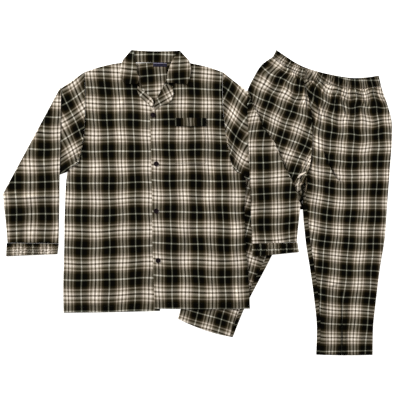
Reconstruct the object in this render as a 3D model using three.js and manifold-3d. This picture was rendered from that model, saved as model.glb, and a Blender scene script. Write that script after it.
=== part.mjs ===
// Plaid flannel pyjama set, laid flat: a button-front jacket over elastic-waist trousers.
// Millimetres, +Z up, the surface it lies on is z = 0. Left and right are the wearer's.
// X runs across the set, towards the wearer's left, and Y runs from the hems to the collar.

import * as THREE from 'three';
import { mergeVertices } from 'three/addons/utils/BufferGeometryUtils.js';
import Module from 'manifold-3d';

const wasm = await Module();
wasm.setup();

const CLOTH = 1.5; // brushed flannel, one layer
const COLLAR_CLOTH = 2.2; // two layers and the interlining between them
const CUFF_CLOTH = 2.0;
const LABEL_CLOTH = 1.0;
const SEAM_GAP = 0.3;
const LAYER_GAP = 0.35;
const PANEL_TOP = 2 * CLOTH + LAYER_GAP; // top of a front lying on its back

// Jacket panels, a row for each level from the hem to the shoulder. Outer is the side seam and
// then the armhole, inner the front edge and then the roll line. Bow lifts the middle of the row.
const FRONT_RIGHT = [
  { at: 'hem', outerX: -428, outerY: -353, innerX: -119, innerY: -347, bow: -1 },
  { at: 'low hip', outerX: -429, outerY: -260, innerX: -106, innerY: -241, bow: 0 },
  { at: 'hip', outerX: -426, outerY: -145, innerX: -109, innerY: -120, bow: 0 },
  { at: 'waist', outerX: -424, outerY: -24, innerX: -112, innerY: 8, bow: 0 },
  { at: 'underarm', outerX: -415, outerY: 98, innerX: -114, innerY: 117, bow: 0 },
  { at: 'low armhole', outerX: -382, outerY: 129, innerX: -116, innerY: 168, bow: 0 },
  { at: 'chest', outerX: -367, outerY: 191, innerX: -118, innerY: 226, bow: 0 },
  { at: 'mid armhole', outerX: -360, outerY: 255, innerX: -123, innerY: 277, bow: 0 },
  { at: 'break', outerX: -358, outerY: 312, innerX: -137, innerY: 316, bow: 0 },
  { at: 'lapel', outerX: -358, outerY: 354, innerX: -156, innerY: 343, bow: 0 },
  { at: 'gorge', outerX: -359, outerY: 386, innerX: -184, innerY: 386, bow: 3 },
  { at: 'shoulder', outerX: -360, outerY: 418, innerX: -205, innerY: 451, bow: 7 },
];
const FRONT_LEFT = [
  { at: 'hem', outerX: 169, outerY: -339, innerX: -136, innerY: -340, bow: -0.6 },
  { at: 'low hip', outerX: 165, outerY: -248, innerX: -139, innerY: -248, bow: 0 },
  { at: 'hip', outerX: 156, outerY: -136, innerX: -143, innerY: -126, bow: 0 },
  { at: 'waist', outerX: 152, outerY: -17, innerX: -144, innerY: -8, bow: 0 },
  { at: 'underarm', outerX: 154, outerY: 79, innerX: -146, innerY: 98, bow: 0 },
  { at: 'low armhole', outerX: 118, outerY: 108, innerX: -147, innerY: 156, bow: 0 },
  { at: 'chest', outerX: 99, outerY: 178, innerX: -148, innerY: 213, bow: 0 },
  { at: 'mid armhole', outerX: 88, outerY: 252, innerX: -150, innerY: 268, bow: 0 },
  { at: 'break', outerX: 82, outerY: 312, innerX: -141, innerY: 300, bow: 0 },
  { at: 'lapel', outerX: 81, outerY: 354, innerX: -127, innerY: 333, bow: 0 },
  { at: 'gorge', outerX: 81, outerY: 386, innerX: -103, innerY: 384, bow: 3 },
  { at: 'shoulder', outerX: 81, outerY: 418, innerX: -72, innerY: 451, bow: 7 },
];
const UNDERARM_ROW = 4;
const SHOULDER_ROW = 11;
const JACKET_LEVELS = [0, 0.5, 1, 1.5, 2, 2.5, 3, 3.5, 4, 5, 6, 7, 8, 9, 10, 11];
const UNDERLAP = 64; // strip of the right front kept apart from the grid that all panels share
const PLACKET_COLUMNS = [0, 18, 42, 78]; // distances from the left front's edge
const SIDE_COLUMNS = 8;

// Trouser legs, a row for each level from the waistband seam to the hem. Outer is the side seam,
// inner the centre front seam and then the inseam, roll the strip of back turned to the front.
const LEG_RIGHT = [
  { at: 'band', outerX: 241, outerY: 466, innerX: 338, innerY: 399, bow: -2.6, roll: 0 },
  { at: 'yoke', outerX: 205, outerY: 439, innerX: 348, innerY: 365, bow: 0, roll: 0 },
  { at: 'hip', outerX: 179, outerY: 397, innerX: 360, innerY: 316, bow: 0, roll: 0 },
  { at: 'seat', outerX: 160, outerY: 356, innerX: 368, innerY: 258, bow: 0, roll: 0 },
  { at: 'rise', outerX: 137, outerY: 282, innerX: 368, innerY: 181, bow: 0, roll: 0 },
  { at: 'fork', outerX: 107, outerY: 183, innerX: 360, innerY: 117, bow: 0, roll: 0 },
  { at: 'crotch', outerX: 88, outerY: 119, innerX: 343, innerY: 60, bow: 0, roll: 0 },
  { at: 'thigh', outerX: 65, outerY: 44, innerX: 327, innerY: 5, bow: 0, roll: 13 },
  { at: 'knee', outerX: 25, outerY: -89, innerX: 279, innerY: -91, bow: 0, roll: 15 },
  { at: 'calf', outerX: -5, outerY: -190, innerX: 224, innerY: -200, bow: 0, roll: 15 },
  { at: 'shin', outerX: -31, outerY: -273, innerX: 181, innerY: -281, bow: 0, roll: 14 },
  { at: 'ankle', outerX: -51, outerY: -337, innerX: 149, innerY: -344, bow: 0, roll: 13 },
  { at: 'hem', outerX: -62, outerY: -372, innerX: 114, innerY: -431, bow: -7.7, roll: 10 },
];
const LEG_LEFT = [
  { at: 'band', outerX: 589, outerY: 374, innerX: 338, innerY: 399, bow: -20.8, roll: 0 },
  { at: 'yoke', outerX: 597, outerY: 348, innerX: 348, innerY: 365, bow: -16, roll: 0 },
  { at: 'hip', outerX: 609, outerY: 314, innerX: 360, innerY: 316, bow: -9.6, roll: 0 },
  { at: 'seat', outerX: 623.2, outerY: 258, innerX: 368, innerY: 258, bow: 0, roll: 0 },
  { at: 'rise', outerX: 623.2, outerY: 188, innerX: 368, innerY: 181, bow: 0, roll: 0 },
  { at: 'fork', outerX: 618, outerY: 120, innerX: 360, innerY: 117, bow: 0, roll: 0 },
  { at: 'crotch', outerX: 614, outerY: 63, innerX: 343, innerY: 60, bow: 0, roll: 0 },
  { at: 'thigh', outerX: 609, outerY: -1, innerX: 337, innerY: 5, bow: 0, roll: 13 },
  { at: 'knee', outerX: 601, outerY: -113, innerX: 347, innerY: -120, bow: 0, roll: 15 },
  { at: 'calf', outerX: 586, outerY: -206, innerX: 361, innerY: -209, bow: 0, roll: 15 },
  { at: 'shin', outerX: 574, outerY: -302, innerX: 374, innerY: -302, bow: 0, roll: 14 },
  { at: 'ankle', outerX: 564, outerY: -395, innerX: 383, innerY: -395, bow: 0, roll: 12 },
  { at: 'hem', outerX: 562, outerY: -488, innerX: 381, innerY: -487, bow: -1.6, roll: 11 },
];
const CROTCH_ROW = 6;
const CENTRE_SEAM_PLACE = 2; // row of the waistband's table where the two fronts meet
const GATHER_HEIGHT = 2.6;
const GATHER_PITCH = 9; // along the waistband
const TROUSER_LIFT = 5; // the jacket over the trousers, their top and the air below the cloth
const LIFT_BRIDGE = 12; // how far the jacket stays up past the trousers' edge
const LIFT_RAMP = 44;

// Waistband, a row for each place along it: its top edge and the seam below.
const WAISTBAND = [
  { topX: 254, topY: 489, seamX: 243, seamY: 467.5 },
  { topX: 312, topY: 450, seamX: 291.5, seamY: 431 },
  { topX: 357, topY: 429, seamX: 338, seamY: 399.6 },
  { topX: 419, topY: 412, seamX: 401, seamY: 383.5 },
  { topX: 489, topY: 400, seamX: 480, seamY: 367.5 },
  { topX: 540, topY: 401, seamX: 543, seamY: 367.5 },
  { topX: 581, topY: 407, seamX: 588, seamY: 374.8 },
];

// Sleeves: where the forearm folds over, from the top edge to the underarm, and the cuff seam.
const SLEEVE_RIGHT = {
  fold: [[-439, 367], [-624, 24]],
  out: [-0.8802, 0.4746],
  endInner: [-444, -131],
  endOuter: [-608, -129],
};
const SLEEVE_LEFT = {
  fold: [[163, 357], [182, 312], [214, 237], [246, 197], [284, 111], [318, 44], [332, -11]],
  out: [0.909, 0.417],
  endInner: [176, -131],
  endOuter: [319, -127],
};
const FOLD_AIR = 0.9; // between the upper arm and the forearm on it
const FOREARM_PUFF = 2.4;
const UPPER_ARM_STEPS = 4;
const BEND_STEPS = 5;
const FOREARM_STEPS = 8;

// Cuffs: corners at the sleeve seam and at the opening.
const CUFF_RIGHT = { seam: [[-443, -131.4], [-610, -129.4]], hem: [[-447, -165], [-612, -172]] };
const CUFF_LEFT = { seam: [[175, -131.4], [321, -127.4]], hem: [[176, -173], [326, -159]] };
const CUFF_WAVES = 7;
const CUFF_WAVE_HEIGHT = 0.9;

// Collar leaves and lapels, a row for each level: the roll line and the outer edge.
const LEAF_RIGHT = [
  { rollX: -191, rollY: 379, edgeX: -232, edgeY: 379 },
  { rollX: -184.5, rollY: 399, edgeX: -242, edgeY: 397 },
  { rollX: -192.5, rollY: 415, edgeX: -246, edgeY: 418 },
  { rollX: -192.5, rollY: 436, edgeX: -244, edgeY: 440 },
  { rollX: -199, rollY: 457, edgeX: -236, edgeY: 458 },
  { rollX: -201, rollY: 476, edgeX: -222, edgeY: 475 },
  { rollX: -200, rollY: 485, edgeX: -211, edgeY: 488 },
];
const LEAF_LEFT = [
  { rollX: -98, rollY: 384, edgeX: -32, edgeY: 378 },
  { rollX: -98, rollY: 397, edgeX: -24, edgeY: 396 },
  { rollX: -94, rollY: 415, edgeX: -20, edgeY: 418 },
  { rollX: -87, rollY: 437, edgeX: -21, edgeY: 437 },
  { rollX: -77, rollY: 459, edgeX: -27, edgeY: 455 },
  { rollX: -67, rollY: 476, edgeX: -42, edgeY: 472 },
  { rollX: -66, rollY: 485, edgeX: -56, edgeY: 487 },
];
const LAPEL_RIGHT = [
  { rollX: -139, rollY: 313, edgeX: -144, edgeY: 305 },
  { rollX: -143, rollY: 330, edgeX: -160, edgeY: 318 },
  { rollX: -156, rollY: 343, edgeX: -179, edgeY: 335 },
  { rollX: -173, rollY: 356, edgeX: -187, edgeY: 346 },
  { rollX: -189, rollY: 372, edgeX: -193, edgeY: 362 },
];
const LAPEL_LEFT = [
  { rollX: -139, rollY: 303, edgeX: -135, edgeY: 295 },
  { rollX: -129, rollY: 331, edgeX: -117, edgeY: 310 },
  { rollX: -117, rollY: 356, edgeX: -91, edgeY: 318 },
  { rollX: -108, rollY: 371, edgeX: -77, edgeY: 340 },
  { rollX: -101, rollY: 380, edgeX: -78, edgeY: 372 },
];
const COLLAR_BACK = { foldLeft: [-56, 487], foldRight: [-211, 489], dip: -3, seamY: 451.4 };
const COLLAR_SEAM_LEFT = -75;
const COLLAR_SEAM_RIGHT = -199;
const LEAF_BASE = 5.7; // underside of the leaves over the fronts
const LEAF_BASE_AT_FOLD = 3.9; // and where they run into the collar's back
const ROLL_HEIGHT = 3.2;

const POCKET = { left: 27, right: -71, top: 243.6, bottom: 126 };
const POCKET_BAND = { left: 28.5, right: -72, top: 271, bottom: 244 };
const BUTTON_PLACES = [
  { x: -141, y: 280 },
  { x: -131, y: 124 },
  { x: -131, y: -27 },
  { x: -125, y: -185 },
];
const BUTTON = { radius: 8, thickness: 2.6, bevel: 0.6, holeRadius: 1, holeSpread: 1.9 };
const LABEL = { left: -108, right: -141, top: 448.5, bottom: 435.5 };
const SIZE_TAB = { left: -97, right: -107, top: 446.5, bottom: 434.5 };

// The largest soft swells in the fronts: a ridge's middle, its direction from +X and its size.
const JACKET_SWELLS = [
  { x: -300, y: -210, turn: 82, length: 170, width: 34, height: 2.6 },
  { x: -350, y: 40, turn: 70, length: 150, width: 30, height: 2.4 },
  { x: -250, y: 210, turn: 100, length: 130, width: 30, height: 2 },
  { x: 20, y: -200, turn: 96, length: 170, width: 32, height: 2.4 },
  { x: 80, y: 20, turn: 112, length: 150, width: 28, height: 2.6 },
  { x: -20, y: 340, turn: 75, length: 60, width: 22, height: 1.6 },
];
const TROUSER_SWELLS = [
  { x: 424, y: 128, turn: -66, length: 55, width: 13, height: 4.6 },
  { x: 352, y: 72, turn: 32, length: 24, width: 11, height: 3.4 },
  { x: 505, y: 60, turn: -80, length: 150, width: 26, height: 2.6 },
  { x: 455, y: -150, turn: 84, length: 160, width: 24, height: 2.8 },
  { x: 520, y: -330, turn: 88, length: 120, width: 22, height: 2.4 },
  { x: 560, y: 230, turn: -72, length: 90, width: 18, height: 2.4 },
];

function smoothstep(from, to, value) {
  const t = Math.min(1, Math.max(0, (value - from) / (to - from)));
  return t * t * (3 - 2 * t);
}

function lerp(a, b, t) {
  return a + (b - a) * t;
}

function lerpPoint(a, b, t) {
  return [lerp(a[0], b[0], t), lerp(a[1], b[1], t)];
}

// Reads one column of a table on a smooth curve through its rows.
function read(table, place, column) {
  const last = table.length - 1;
  const row = Math.min(Math.floor(place), last - 1);
  const value = (index) => table[Math.min(last, Math.max(0, index))][column];
  const [a, b, c, d] = [-1, 0, 1, 2].map((step) => value(row + step));
  const t = place - row;
  const slope = (c - a) * t;
  const bend = (2 * a - 5 * b + 4 * c - d) * t * t;
  const twist = (3 * b - a - 3 * c + d) * t * t * t;
  return 0.5 * (2 * b + slope + bend + twist);
}

// A level of a panel: its two ends and how far its middle bows up the garment.
function levelOf(table, place) {
  return {
    outer: [read(table, place, 'outerX'), read(table, place, 'outerY')],
    inner: [read(table, place, 'innerX'), read(table, place, 'innerY')],
    bow: read(table, place, 'bow'),
  };
}

function across(level, t) {
  const [x, y] = lerpPoint(level.outer, level.inner, t);
  return [x, y + level.bow * (1 - (2 * t - 1) ** 2)];
}

function distance(a, b) {
  return Math.hypot(b[0] - a[0], b[1] - a[1]);
}

function distanceToSegment(p, a, b) {
  const [dx, dy] = [b[0] - a[0], b[1] - a[1]];
  const along = ((p[0] - a[0]) * dx + (p[1] - a[1]) * dy) / (dx * dx + dy * dy);
  return distance(p, lerpPoint(a, b, Math.min(1, Math.max(0, along))));
}

function isInside(p, outline) {
  let inside = false;
  outline.forEach((a, i) => {
    const b = outline[(i + 1) % outline.length];
    const crosses = (a[1] > p[1]) !== (b[1] > p[1]);
    if (crosses && p[0] < a[0] + ((p[1] - a[1]) / (b[1] - a[1])) * (b[0] - a[0])) {
      inside = !inside;
    }
  });
  return inside;
}

const RIGHT_LEG_OUTLINE = [
  ...LEG_RIGHT.map((row) => [row.outerX, row.outerY]),
  ...LEG_RIGHT.map((row) => [row.innerX, row.innerY]).reverse(),
];

// How far the right leg of the trousers lifts the jacket that lies over it.
function liftAt(x, y) {
  if (isInside([x, y], RIGHT_LEG_OUTLINE)) return TROUSER_LIFT;
  const gaps = RIGHT_LEG_OUTLINE.map((a, i) => {
    const b = RIGHT_LEG_OUTLINE[(i + 1) % RIGHT_LEG_OUTLINE.length];
    return distanceToSegment([x, y], a, b);
  });
  const past = Math.min(...gaps) - LIFT_BRIDGE;
  return TROUSER_LIFT * (1 - smoothstep(0, LIFT_RAMP, past));
}

// Height of a set of soft ridges, each a bell across and along its own direction.
function swellAt(swells, x, y) {
  return swells.reduce((sum, swell) => {
    const turn = THREE.MathUtils.degToRad(swell.turn);
    const along = (x - swell.x) * Math.cos(turn) + (y - swell.y) * Math.sin(turn);
    const side = (y - swell.y) * Math.cos(turn) - (x - swell.x) * Math.sin(turn);
    return sum + swell.height * Math.exp(-((along / swell.length) ** 2) - (side / swell.width) ** 2);
  }, 0);
}

// Joins two rows of points that may differ in number, as pairs of [row, index] corners.
function stitchRows(countA, countB) {
  const triangles = [];
  let [i, j] = [0, 0];
  while (i < countA - 1 || j < countB - 1) {
    const stepA = i < countA - 1 && (j === countB - 1 || (i + 1) * (countB - 1) <= (j + 1) * (countA - 1));
    triangles.push(stepA ? [[0, i], [0, i + 1], [1, j]] : [[0, i], [1, j + 1], [1, j]]);
    if (stepA) i += 1;
    else j += 1;
  }
  return triangles;
}

function volumeOf(geometry) {
  const points = geometry.getAttribute('position');
  const index = geometry.getIndex();
  const corner = (i) => new THREE.Vector3().fromBufferAttribute(points, index.getX(i));
  let sum = 0;
  for (let i = 0; i < index.count; i += 3) {
    sum += corner(i).dot(corner(i + 1).cross(corner(i + 2))) / 6;
  }
  return sum;
}

// A closed wall of cloth. rows[i][j] is { outer, inner }, a point on each skin; a ring's rows
// close on themselves.
function clothWall(rows, ring = false) {
  const skins = ['outer', 'inner'];
  const positions = [];
  const numbers = skins.map((skin) => rows.map((row) => row.map((pair) => {
    positions.push(...pair[skin]);
    return positions.length / 3 - 1;
  })));
  const index = [];
  const at = (skin, i, j) => numbers[skin][i][j % rows[i].length];
  for (let i = 0; i < rows.length - 1; i += 1) {
    const extra = ring ? 1 : 0;
    const triangles = stitchRows(rows[i].length + extra, rows[i + 1].length + extra);
    triangles.forEach(([a, b, c]) => {
      const corners = (skin) => [a, b, c].map(([row, j]) => at(skin, i + row, j));
      index.push(...corners(0), ...corners(1).reverse());
    });
    if (!ring) {
      [[i, 0, i + 1, 0], [i + 1, rows[i + 1].length - 1, i, rows[i].length - 1]].forEach((edge) => {
        const [p, q, r, s] = edge;
        index.push(at(0, p, q), at(0, r, s), at(1, r, s), at(0, p, q), at(1, r, s), at(1, p, q));
      });
    }
  }
  [0, rows.length - 1].forEach((i) => {
    const count = rows[i].length - (ring ? 0 : 1);
    for (let j = 0; j < count; j += 1) {
      const quad = [at(0, i, j + 1), at(0, i, j), at(1, i, j), at(1, i, j + 1)];
      const [a, b, c, d] = i === 0 ? quad : quad.reverse();
      index.push(a, b, c, a, c, d);
    }
  });
  const geometry = new THREE.BufferGeometry();
  geometry.setAttribute('position', new THREE.Float32BufferAttribute(positions, 3));
  geometry.setIndex(index);
  if (volumeOf(geometry) < 0) {
    geometry.setIndex(index.reverse());
  }
  return geometry;
}

// A layer of cloth over plan points, its underside at heightAt(x, y, i, j).
function layer(plan, heightAt, thickness = CLOTH) {
  return clothWall(plan.map((row, i) => row.map(([x, y], j) => {
    const z = heightAt(x, y, i, j);
    return { outer: [x, y, z + thickness], inner: [x, y, z] };
  })));
}

function toManifold(geometry) {
  const merged = mergeVertices(geometry, 1e-5);
  return new wasm.Manifold(new wasm.Mesh({
    numProp: 3,
    vertProperties: new Float32Array(merged.getAttribute('position').array),
    triVerts: new Uint32Array(merged.getIndex().array),
  }));
}

function toGeometry(solid) {
  const mesh = solid.getMesh();
  const geometry = new THREE.BufferGeometry();
  geometry.setAttribute('position', new THREE.BufferAttribute(mesh.vertProperties, mesh.numProp));
  geometry.setIndex(new THREE.BufferAttribute(mesh.triVerts, 1));
  return geometry;
}

const PLAID = { color: 0x4a3f36, roughness: 0.95, metalness: 0 };
const BUTTON_PLASTIC = { color: 0x3a2630, roughness: 0.35, metalness: 0 };
const LABEL_SATIN = { color: 0x1c1a2e, roughness: 0.6, metalness: 0 };

const set = new THREE.Group();

function addPiece(name, geometry, look = PLAID) {
  geometry.computeVertexNormals();
  const mesh = new THREE.Mesh(geometry, new THREE.MeshStandardMaterial(look));
  mesh.name = name;
  set.add(mesh);
}

// Jacket panels. All three share one grid of plan points, so that layers never cross.
function pointFromInner(level, mm) {
  return across(level, 1 - mm / distance(level.outer, level.inner));
}

function rightColumns(place) {
  const level = levelOf(FRONT_RIGHT, place);
  const share = 1 - UNDERLAP / distance(level.outer, level.inner);
  return Array.from({ length: SIDE_COLUMNS + 1 }, (_, j) => across(level, (share * j) / SIDE_COLUMNS));
}

function leftColumns(place) {
  const level = levelOf(FRONT_LEFT, place);
  const share = 1 - PLACKET_COLUMNS.at(-1) / distance(level.outer, level.inner);
  const placket = PLACKET_COLUMNS.slice(0, -1).map((mm) => pointFromInner(level, mm));
  const side = Array.from({ length: SIDE_COLUMNS }, (_, j) => (
    across(level, share * (1 - j / (SIDE_COLUMNS - 1)))));
  return [...placket, ...side];
}

function backMiddle(place) {
  const right = levelOf(FRONT_RIGHT, place).inner;
  const left = levelOf(FRONT_LEFT, place).inner;
  const shared = rightColumns(place).at(-1);
  const first = right[0] < left[0] - 20 ? right : lerpPoint(shared, left, 0.4);
  return [first, lerpPoint(first, left, 0.5)];
}

const backPlan = JACKET_LEVELS.map((place) => (
  [...rightColumns(place), ...backMiddle(place), ...leftColumns(place)]));
addPiece('shirt_back', layer(backPlan, liftAt));

function frontSwell(x, y) {
  return swellAt(JACKET_SWELLS, x, y) * smoothstep(34, 110, Math.abs(x - BUTTON_PLACES[1].x));
}

function frontUnderside(x, y) {
  return liftAt(x, y) + CLOTH + LAYER_GAP + frontSwell(x, y);
}

const frontRightPlan = JACKET_LEVELS.map((place) => {
  const level = levelOf(FRONT_RIGHT, place);
  return [...rightColumns(place), pointFromInner(level, UNDERLAP / 2), level.inner];
});
addPiece('shirt_front_right', layer(frontRightPlan, frontUnderside));

// The left front rises over the right front's underlap along the placket.
function overlapAt(x, y) {
  const nearest = JACKET_LEVELS.reduce((best, place) => {
    const { inner } = levelOf(FRONT_LEFT, place);
    return Math.abs(inner[1] - y) < Math.abs(best[1] - y) ? inner : best;
  }, [0, 1e4]);
  const width = x - nearest[0];
  return (CLOTH + LAYER_GAP) * (1 - smoothstep(PLACKET_COLUMNS[2], PLACKET_COLUMNS[3], width));
}

const frontLeftPlan = JACKET_LEVELS.map(leftColumns);
const LEFT_RISE = [1, 1, 1, 0];
addPiece('shirt_front_left', layer(frontLeftPlan, (x, y, i, j) => (
  frontUnderside(x, y) + (LEFT_RISE[j] ?? 0) * (CLOTH + LAYER_GAP))));

// Sleeves: a flattened tube of cloth whose forearm is folded over the upper arm.
function seamPoints(table, outSign) {
  const places = [];
  for (let row = SHOULDER_ROW; row >= UNDERARM_ROW; row -= 1) places.push(row);
  const edge = places.map((place) => levelOf(table, place).outer);
  return edge.map((p, j) => {
    const before = edge[Math.max(0, j - 1)];
    const after = edge[Math.min(edge.length - 1, j + 1)];
    const length = distance(before, after);
    const normal = [(after[1] - before[1]) / length, (before[0] - after[0]) / length];
    return [p[0] + outSign * SEAM_GAP * 1.3 * normal[0], p[1] + outSign * SEAM_GAP * 1.3 * normal[1]];
  });
}

function pathShares(points) {
  const sums = [0];
  points.slice(1).forEach((p, i) => sums.push(sums[i] + distance(points[i], p)));
  return sums.map((sum) => sum / sums.at(-1));
}

function alongPath(path, share) {
  const places = path.map((_, i) => i / (path.length - 1));
  const i = Math.min(path.length - 2, places.filter((place) => place <= share).length - 1);
  return lerpPoint(path[i], path[i + 1], (share - places[i]) * (path.length - 1));
}

// Ring of a flattened tube: its flat layers and rounded edges, as plan points with a height
// above the tube's underside, for both skins.
function tubeRing(line, thickness, air) {
  const outerRadius = thickness + air / 2;
  const turns = [Math.PI / 4, (3 * Math.PI) / 4];
  const pull = (end, next) => lerpPoint(end, next, outerRadius / distance(end, next));
  const flat = [pull(line[0], line[1]), ...line.slice(1, -1), pull(line.at(-1), line.at(-2))];
  const turnAt = (from, to, phi) => {
    const place = (radius) => lerpPoint(from, to, (radius / outerRadius) * Math.sin(phi));
    const height = (radius) => outerRadius - radius * Math.cos(phi);
    return [outerRadius, air / 2].map((radius) => [...place(radius), height(radius)]);
  };
  const flatPair = (p, top) => (top
    ? [[...p, 2 * thickness + air], [...p, thickness + air]]
    : [[...p, 0], [...p, thickness]]);
  return [
    ...flat.map((p) => flatPair(p, false)),
    ...turns.map((phi) => turnAt(flat.at(-1), line.at(-1), phi)),
    ...[...flat].reverse().map((p) => flatPair(p, true)),
    ...[...turns].reverse().map((phi) => turnAt(flat[0], line[0], phi)),
  ];
}

function sleeveGeometry(table, outSign, sleeve) {
  const armhole = seamPoints(table, outSign);
  const shares = pathShares(armhole);
  const bendCentre = PANEL_TOP + FOLD_AIR / 2;
  const foldEdge = shares.map((share) => alongPath(sleeve.fold, share));
  const foldStart = foldEdge.map(([x, y]) => [
    x - sleeve.out[0] * bendCentre, y - sleeve.out[1] * bendCentre]);
  const cuffEdge = shares.map((share) => lerpPoint(sleeve.endInner, sleeve.endOuter, share));
  const [a, b] = [armhole.at(-1), foldEdge.at(-1)];
  const pastUnderarm = (x, y) => {
    const side = ((b[0] - a[0]) * (y - a[1]) - (b[1] - a[1]) * (x - a[0])) / distance(a, b);
    return side * outSign;
  };
  const ringOf = (line, place) => tubeRing(line, CLOTH, LAYER_GAP).map(([outer, inner]) => ({
    outer: place(outer), inner: place(inner),
  }));
  const line = (from, to, t) => from.map((p, j) => lerpPoint(p, to[j], t));
  const rows = [];
  for (let k = 0; k <= UPPER_ARM_STEPS; k += 1) {
    rows.push(ringOf(line(armhole, foldStart, k / UPPER_ARM_STEPS), ([x, y, h]) => (
      [x, y, liftAt(x, y) + h])));
  }
  for (let k = 1; k < BEND_STEPS; k += 1) {
    const turn = (Math.PI * k) / BEND_STEPS;
    rows.push(ringOf(foldStart, ([x, y, h]) => {
      const reach = (bendCentre - h) * Math.sin(turn);
      const z = bendCentre - (bendCentre - h) * Math.cos(turn);
      return [x + sleeve.out[0] * reach, y + sleeve.out[1] * reach, liftAt(x, y) + z];
    }));
  }
  const middle = lerpPoint(sleeve.endInner, sleeve.endOuter, 0.5);
  for (let k = 0; k <= FOREARM_STEPS; k += 1) {
    const t = k / FOREARM_STEPS;
    const halfWidth = distance(sleeve.endInner, sleeve.endOuter) / 2;
    rows.push(ringOf(line(foldStart, cuffEdge, t), ([x, y, h]) => {
      const drop = 2 * bendCentre - PANEL_TOP;
      const settle = drop * smoothstep(28, 80, pastUnderarm(x, y));
      const crown = Math.max(0, 1 - ((x - middle[0]) / halfWidth) ** 2);
      const isTop = h < CLOTH * 1.01;
      const puff = isTop ? FOREARM_PUFF * crown * Math.sin(Math.PI * Math.min(1, t * 1.15)) : 0;
      return [x, y, liftAt(x, y) + 2 * bendCentre - h - settle + Math.max(0, puff)];
    }));
  }
  return clothWall(rows, true);
}

addPiece('sleeve_right', sleeveGeometry(FRONT_RIGHT, 1, SLEEVE_RIGHT));
addPiece('sleeve_left', sleeveGeometry(FRONT_LEFT, -1, SLEEVE_LEFT));

// Cuffs: short tubes of doubled cloth, their upper layer rippled.
function cuffGeometry(cuff) {
  const columns = 2 * CUFF_WAVES;
  const shares = Array.from({ length: columns + 1 }, (_, j) => j / columns);
  const edgeLine = (edge) => shares.map((share) => lerpPoint(edge[0], edge[1], share));
  const [seam, hem] = [edgeLine(cuff.seam), edgeLine(cuff.hem)];
  const air = 2 * CUFF_WAVE_HEIGHT + LAYER_GAP;
  return clothWall([0, 0.3, 0.65, 1].map((t) => {
    const line = seam.map((p, j) => lerpPoint(p, hem[j], t));
    return tubeRing(line, CUFF_CLOTH, air).map((pair, place) => {
      const column = 2 * columns + 4 - place;
      const onTop = place > columns + 2 && place < 2 * columns + 4;
      const wave = onTop ? CUFF_WAVE_HEIGHT * (column % 2 ? 1 : -1) * (0.55 + 0.45 * t) : 0;
      const [outer, inner] = pair.map(([x, y, h]) => [x, y, liftAt(x, y) + h + wave]);
      return { outer, inner };
    });
  }), true);
}

addPiece('cuff_right', cuffGeometry(CUFF_RIGHT));
addPiece('cuff_left', cuffGeometry(CUFF_LEFT));

// Collar: a back folded on itself along its top, and a leaf on each side, in one piece.
function turnedStrip(table, columns, undersideAt, thickness) {
  const places = Array.from({ length: 2 * table.length - 1 }, (_, i) => i / 2);
  const plan = places.map((place) => Array.from({ length: columns + 1 }, (_, j) => lerpPoint(
    [read(table, place, 'rollX'), read(table, place, 'rollY')],
    [read(table, place, 'edgeX'), read(table, place, 'edgeY')],
    j / columns,
  )));
  const lift = (j) => ROLL_HEIGHT * (1 - j / columns) ** 2 * (j === 0 ? 0.8 : 1);
  return layer(plan, (x, y, i, j) => undersideAt(x, y) + lift(j), thickness);
}

function leafUnderside(x, y) {
  return lerp(LEAF_BASE, LEAF_BASE_AT_FOLD, smoothstep(455, 480, y));
}

function collarBack() {
  const radius = (COLLAR_CLOTH + LAYER_GAP) / 2;
  const rows = Array.from({ length: 9 }, (_, i) => {
    const t = i / 8;
    const top = lerpPoint(COLLAR_BACK.foldRight, COLLAR_BACK.foldLeft, t);
    top[1] += COLLAR_BACK.dip * (1 - (2 * t - 1) ** 2);
    const low = [lerp(COLLAR_SEAM_RIGHT, COLLAR_SEAM_LEFT, t), COLLAR_BACK.seamY];
    const reach = distance(low, top) - radius - COLLAR_CLOTH / 2;
    const unit = [(top[0] - low[0]) / distance(low, top), (top[1] - low[1]) / distance(low, top)];
    const pair = (along, z, cosine, sine) => {
      const at = (offset) => [
        low[0] + unit[0] * (along + offset * sine), low[1] + unit[1] * (along + offset * sine),
        z + offset * cosine];
      return { outer: at(COLLAR_CLOTH / 2), inner: at(-COLLAR_CLOTH / 2) };
    };
    const standZ = COLLAR_CLOTH / 2 + 2 * radius;
    const turns = [45, 90, 135].map((angle) => {
      const phi = THREE.MathUtils.degToRad(angle);
      const z = COLLAR_CLOTH / 2 + radius + radius * Math.cos(phi);
      return pair(reach + radius * Math.sin(phi), z, Math.cos(phi), Math.sin(phi));
    });
    return [
      pair(0, standZ, 1, 0), pair(reach / 2, standZ, 1, 0), pair(reach, standZ, 1, 0),
      ...turns,
      pair(reach, COLLAR_CLOTH / 2, -1, 0), pair(0, COLLAR_CLOTH / 2, -1, 0),
    ];
  });
  return clothWall(rows);
}

const collarPieces = [
  collarBack(),
  turnedStrip(LEAF_RIGHT, 4, leafUnderside, COLLAR_CLOTH),
  turnedStrip(LEAF_LEFT, 4, leafUnderside, COLLAR_CLOTH),
].map(toManifold);
addPiece('collar', toGeometry(collarPieces[0].add(collarPieces[1]).add(collarPieces[2])));

// Lapels: the tops of the fronts, turned back at the roll line and lying on the fronts.
addPiece('lapel_right', turnedStrip(LAPEL_RIGHT, 3, () => PANEL_TOP + LAYER_GAP, CLOTH));
addPiece('lapel_left', turnedStrip(LAPEL_LEFT, 3, () => (
  PANEL_TOP + CLOTH + 2 * LAYER_GAP), CLOTH));

// Pocket and the band along its mouth, made from the front's own points and moved out.
function onFront(x, y) {
  return frontUnderside(x, y) + overlapAt(x, y) + CLOTH + LAYER_GAP;
}

function patch(place, columns, rows) {
  return Array.from({ length: rows + 1 }, (_, i) => Array.from({ length: columns + 1 }, (__, j) => [
    lerp(place.right, place.left, j / columns), lerp(place.bottom, place.top, i / rows)]));
}

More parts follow.
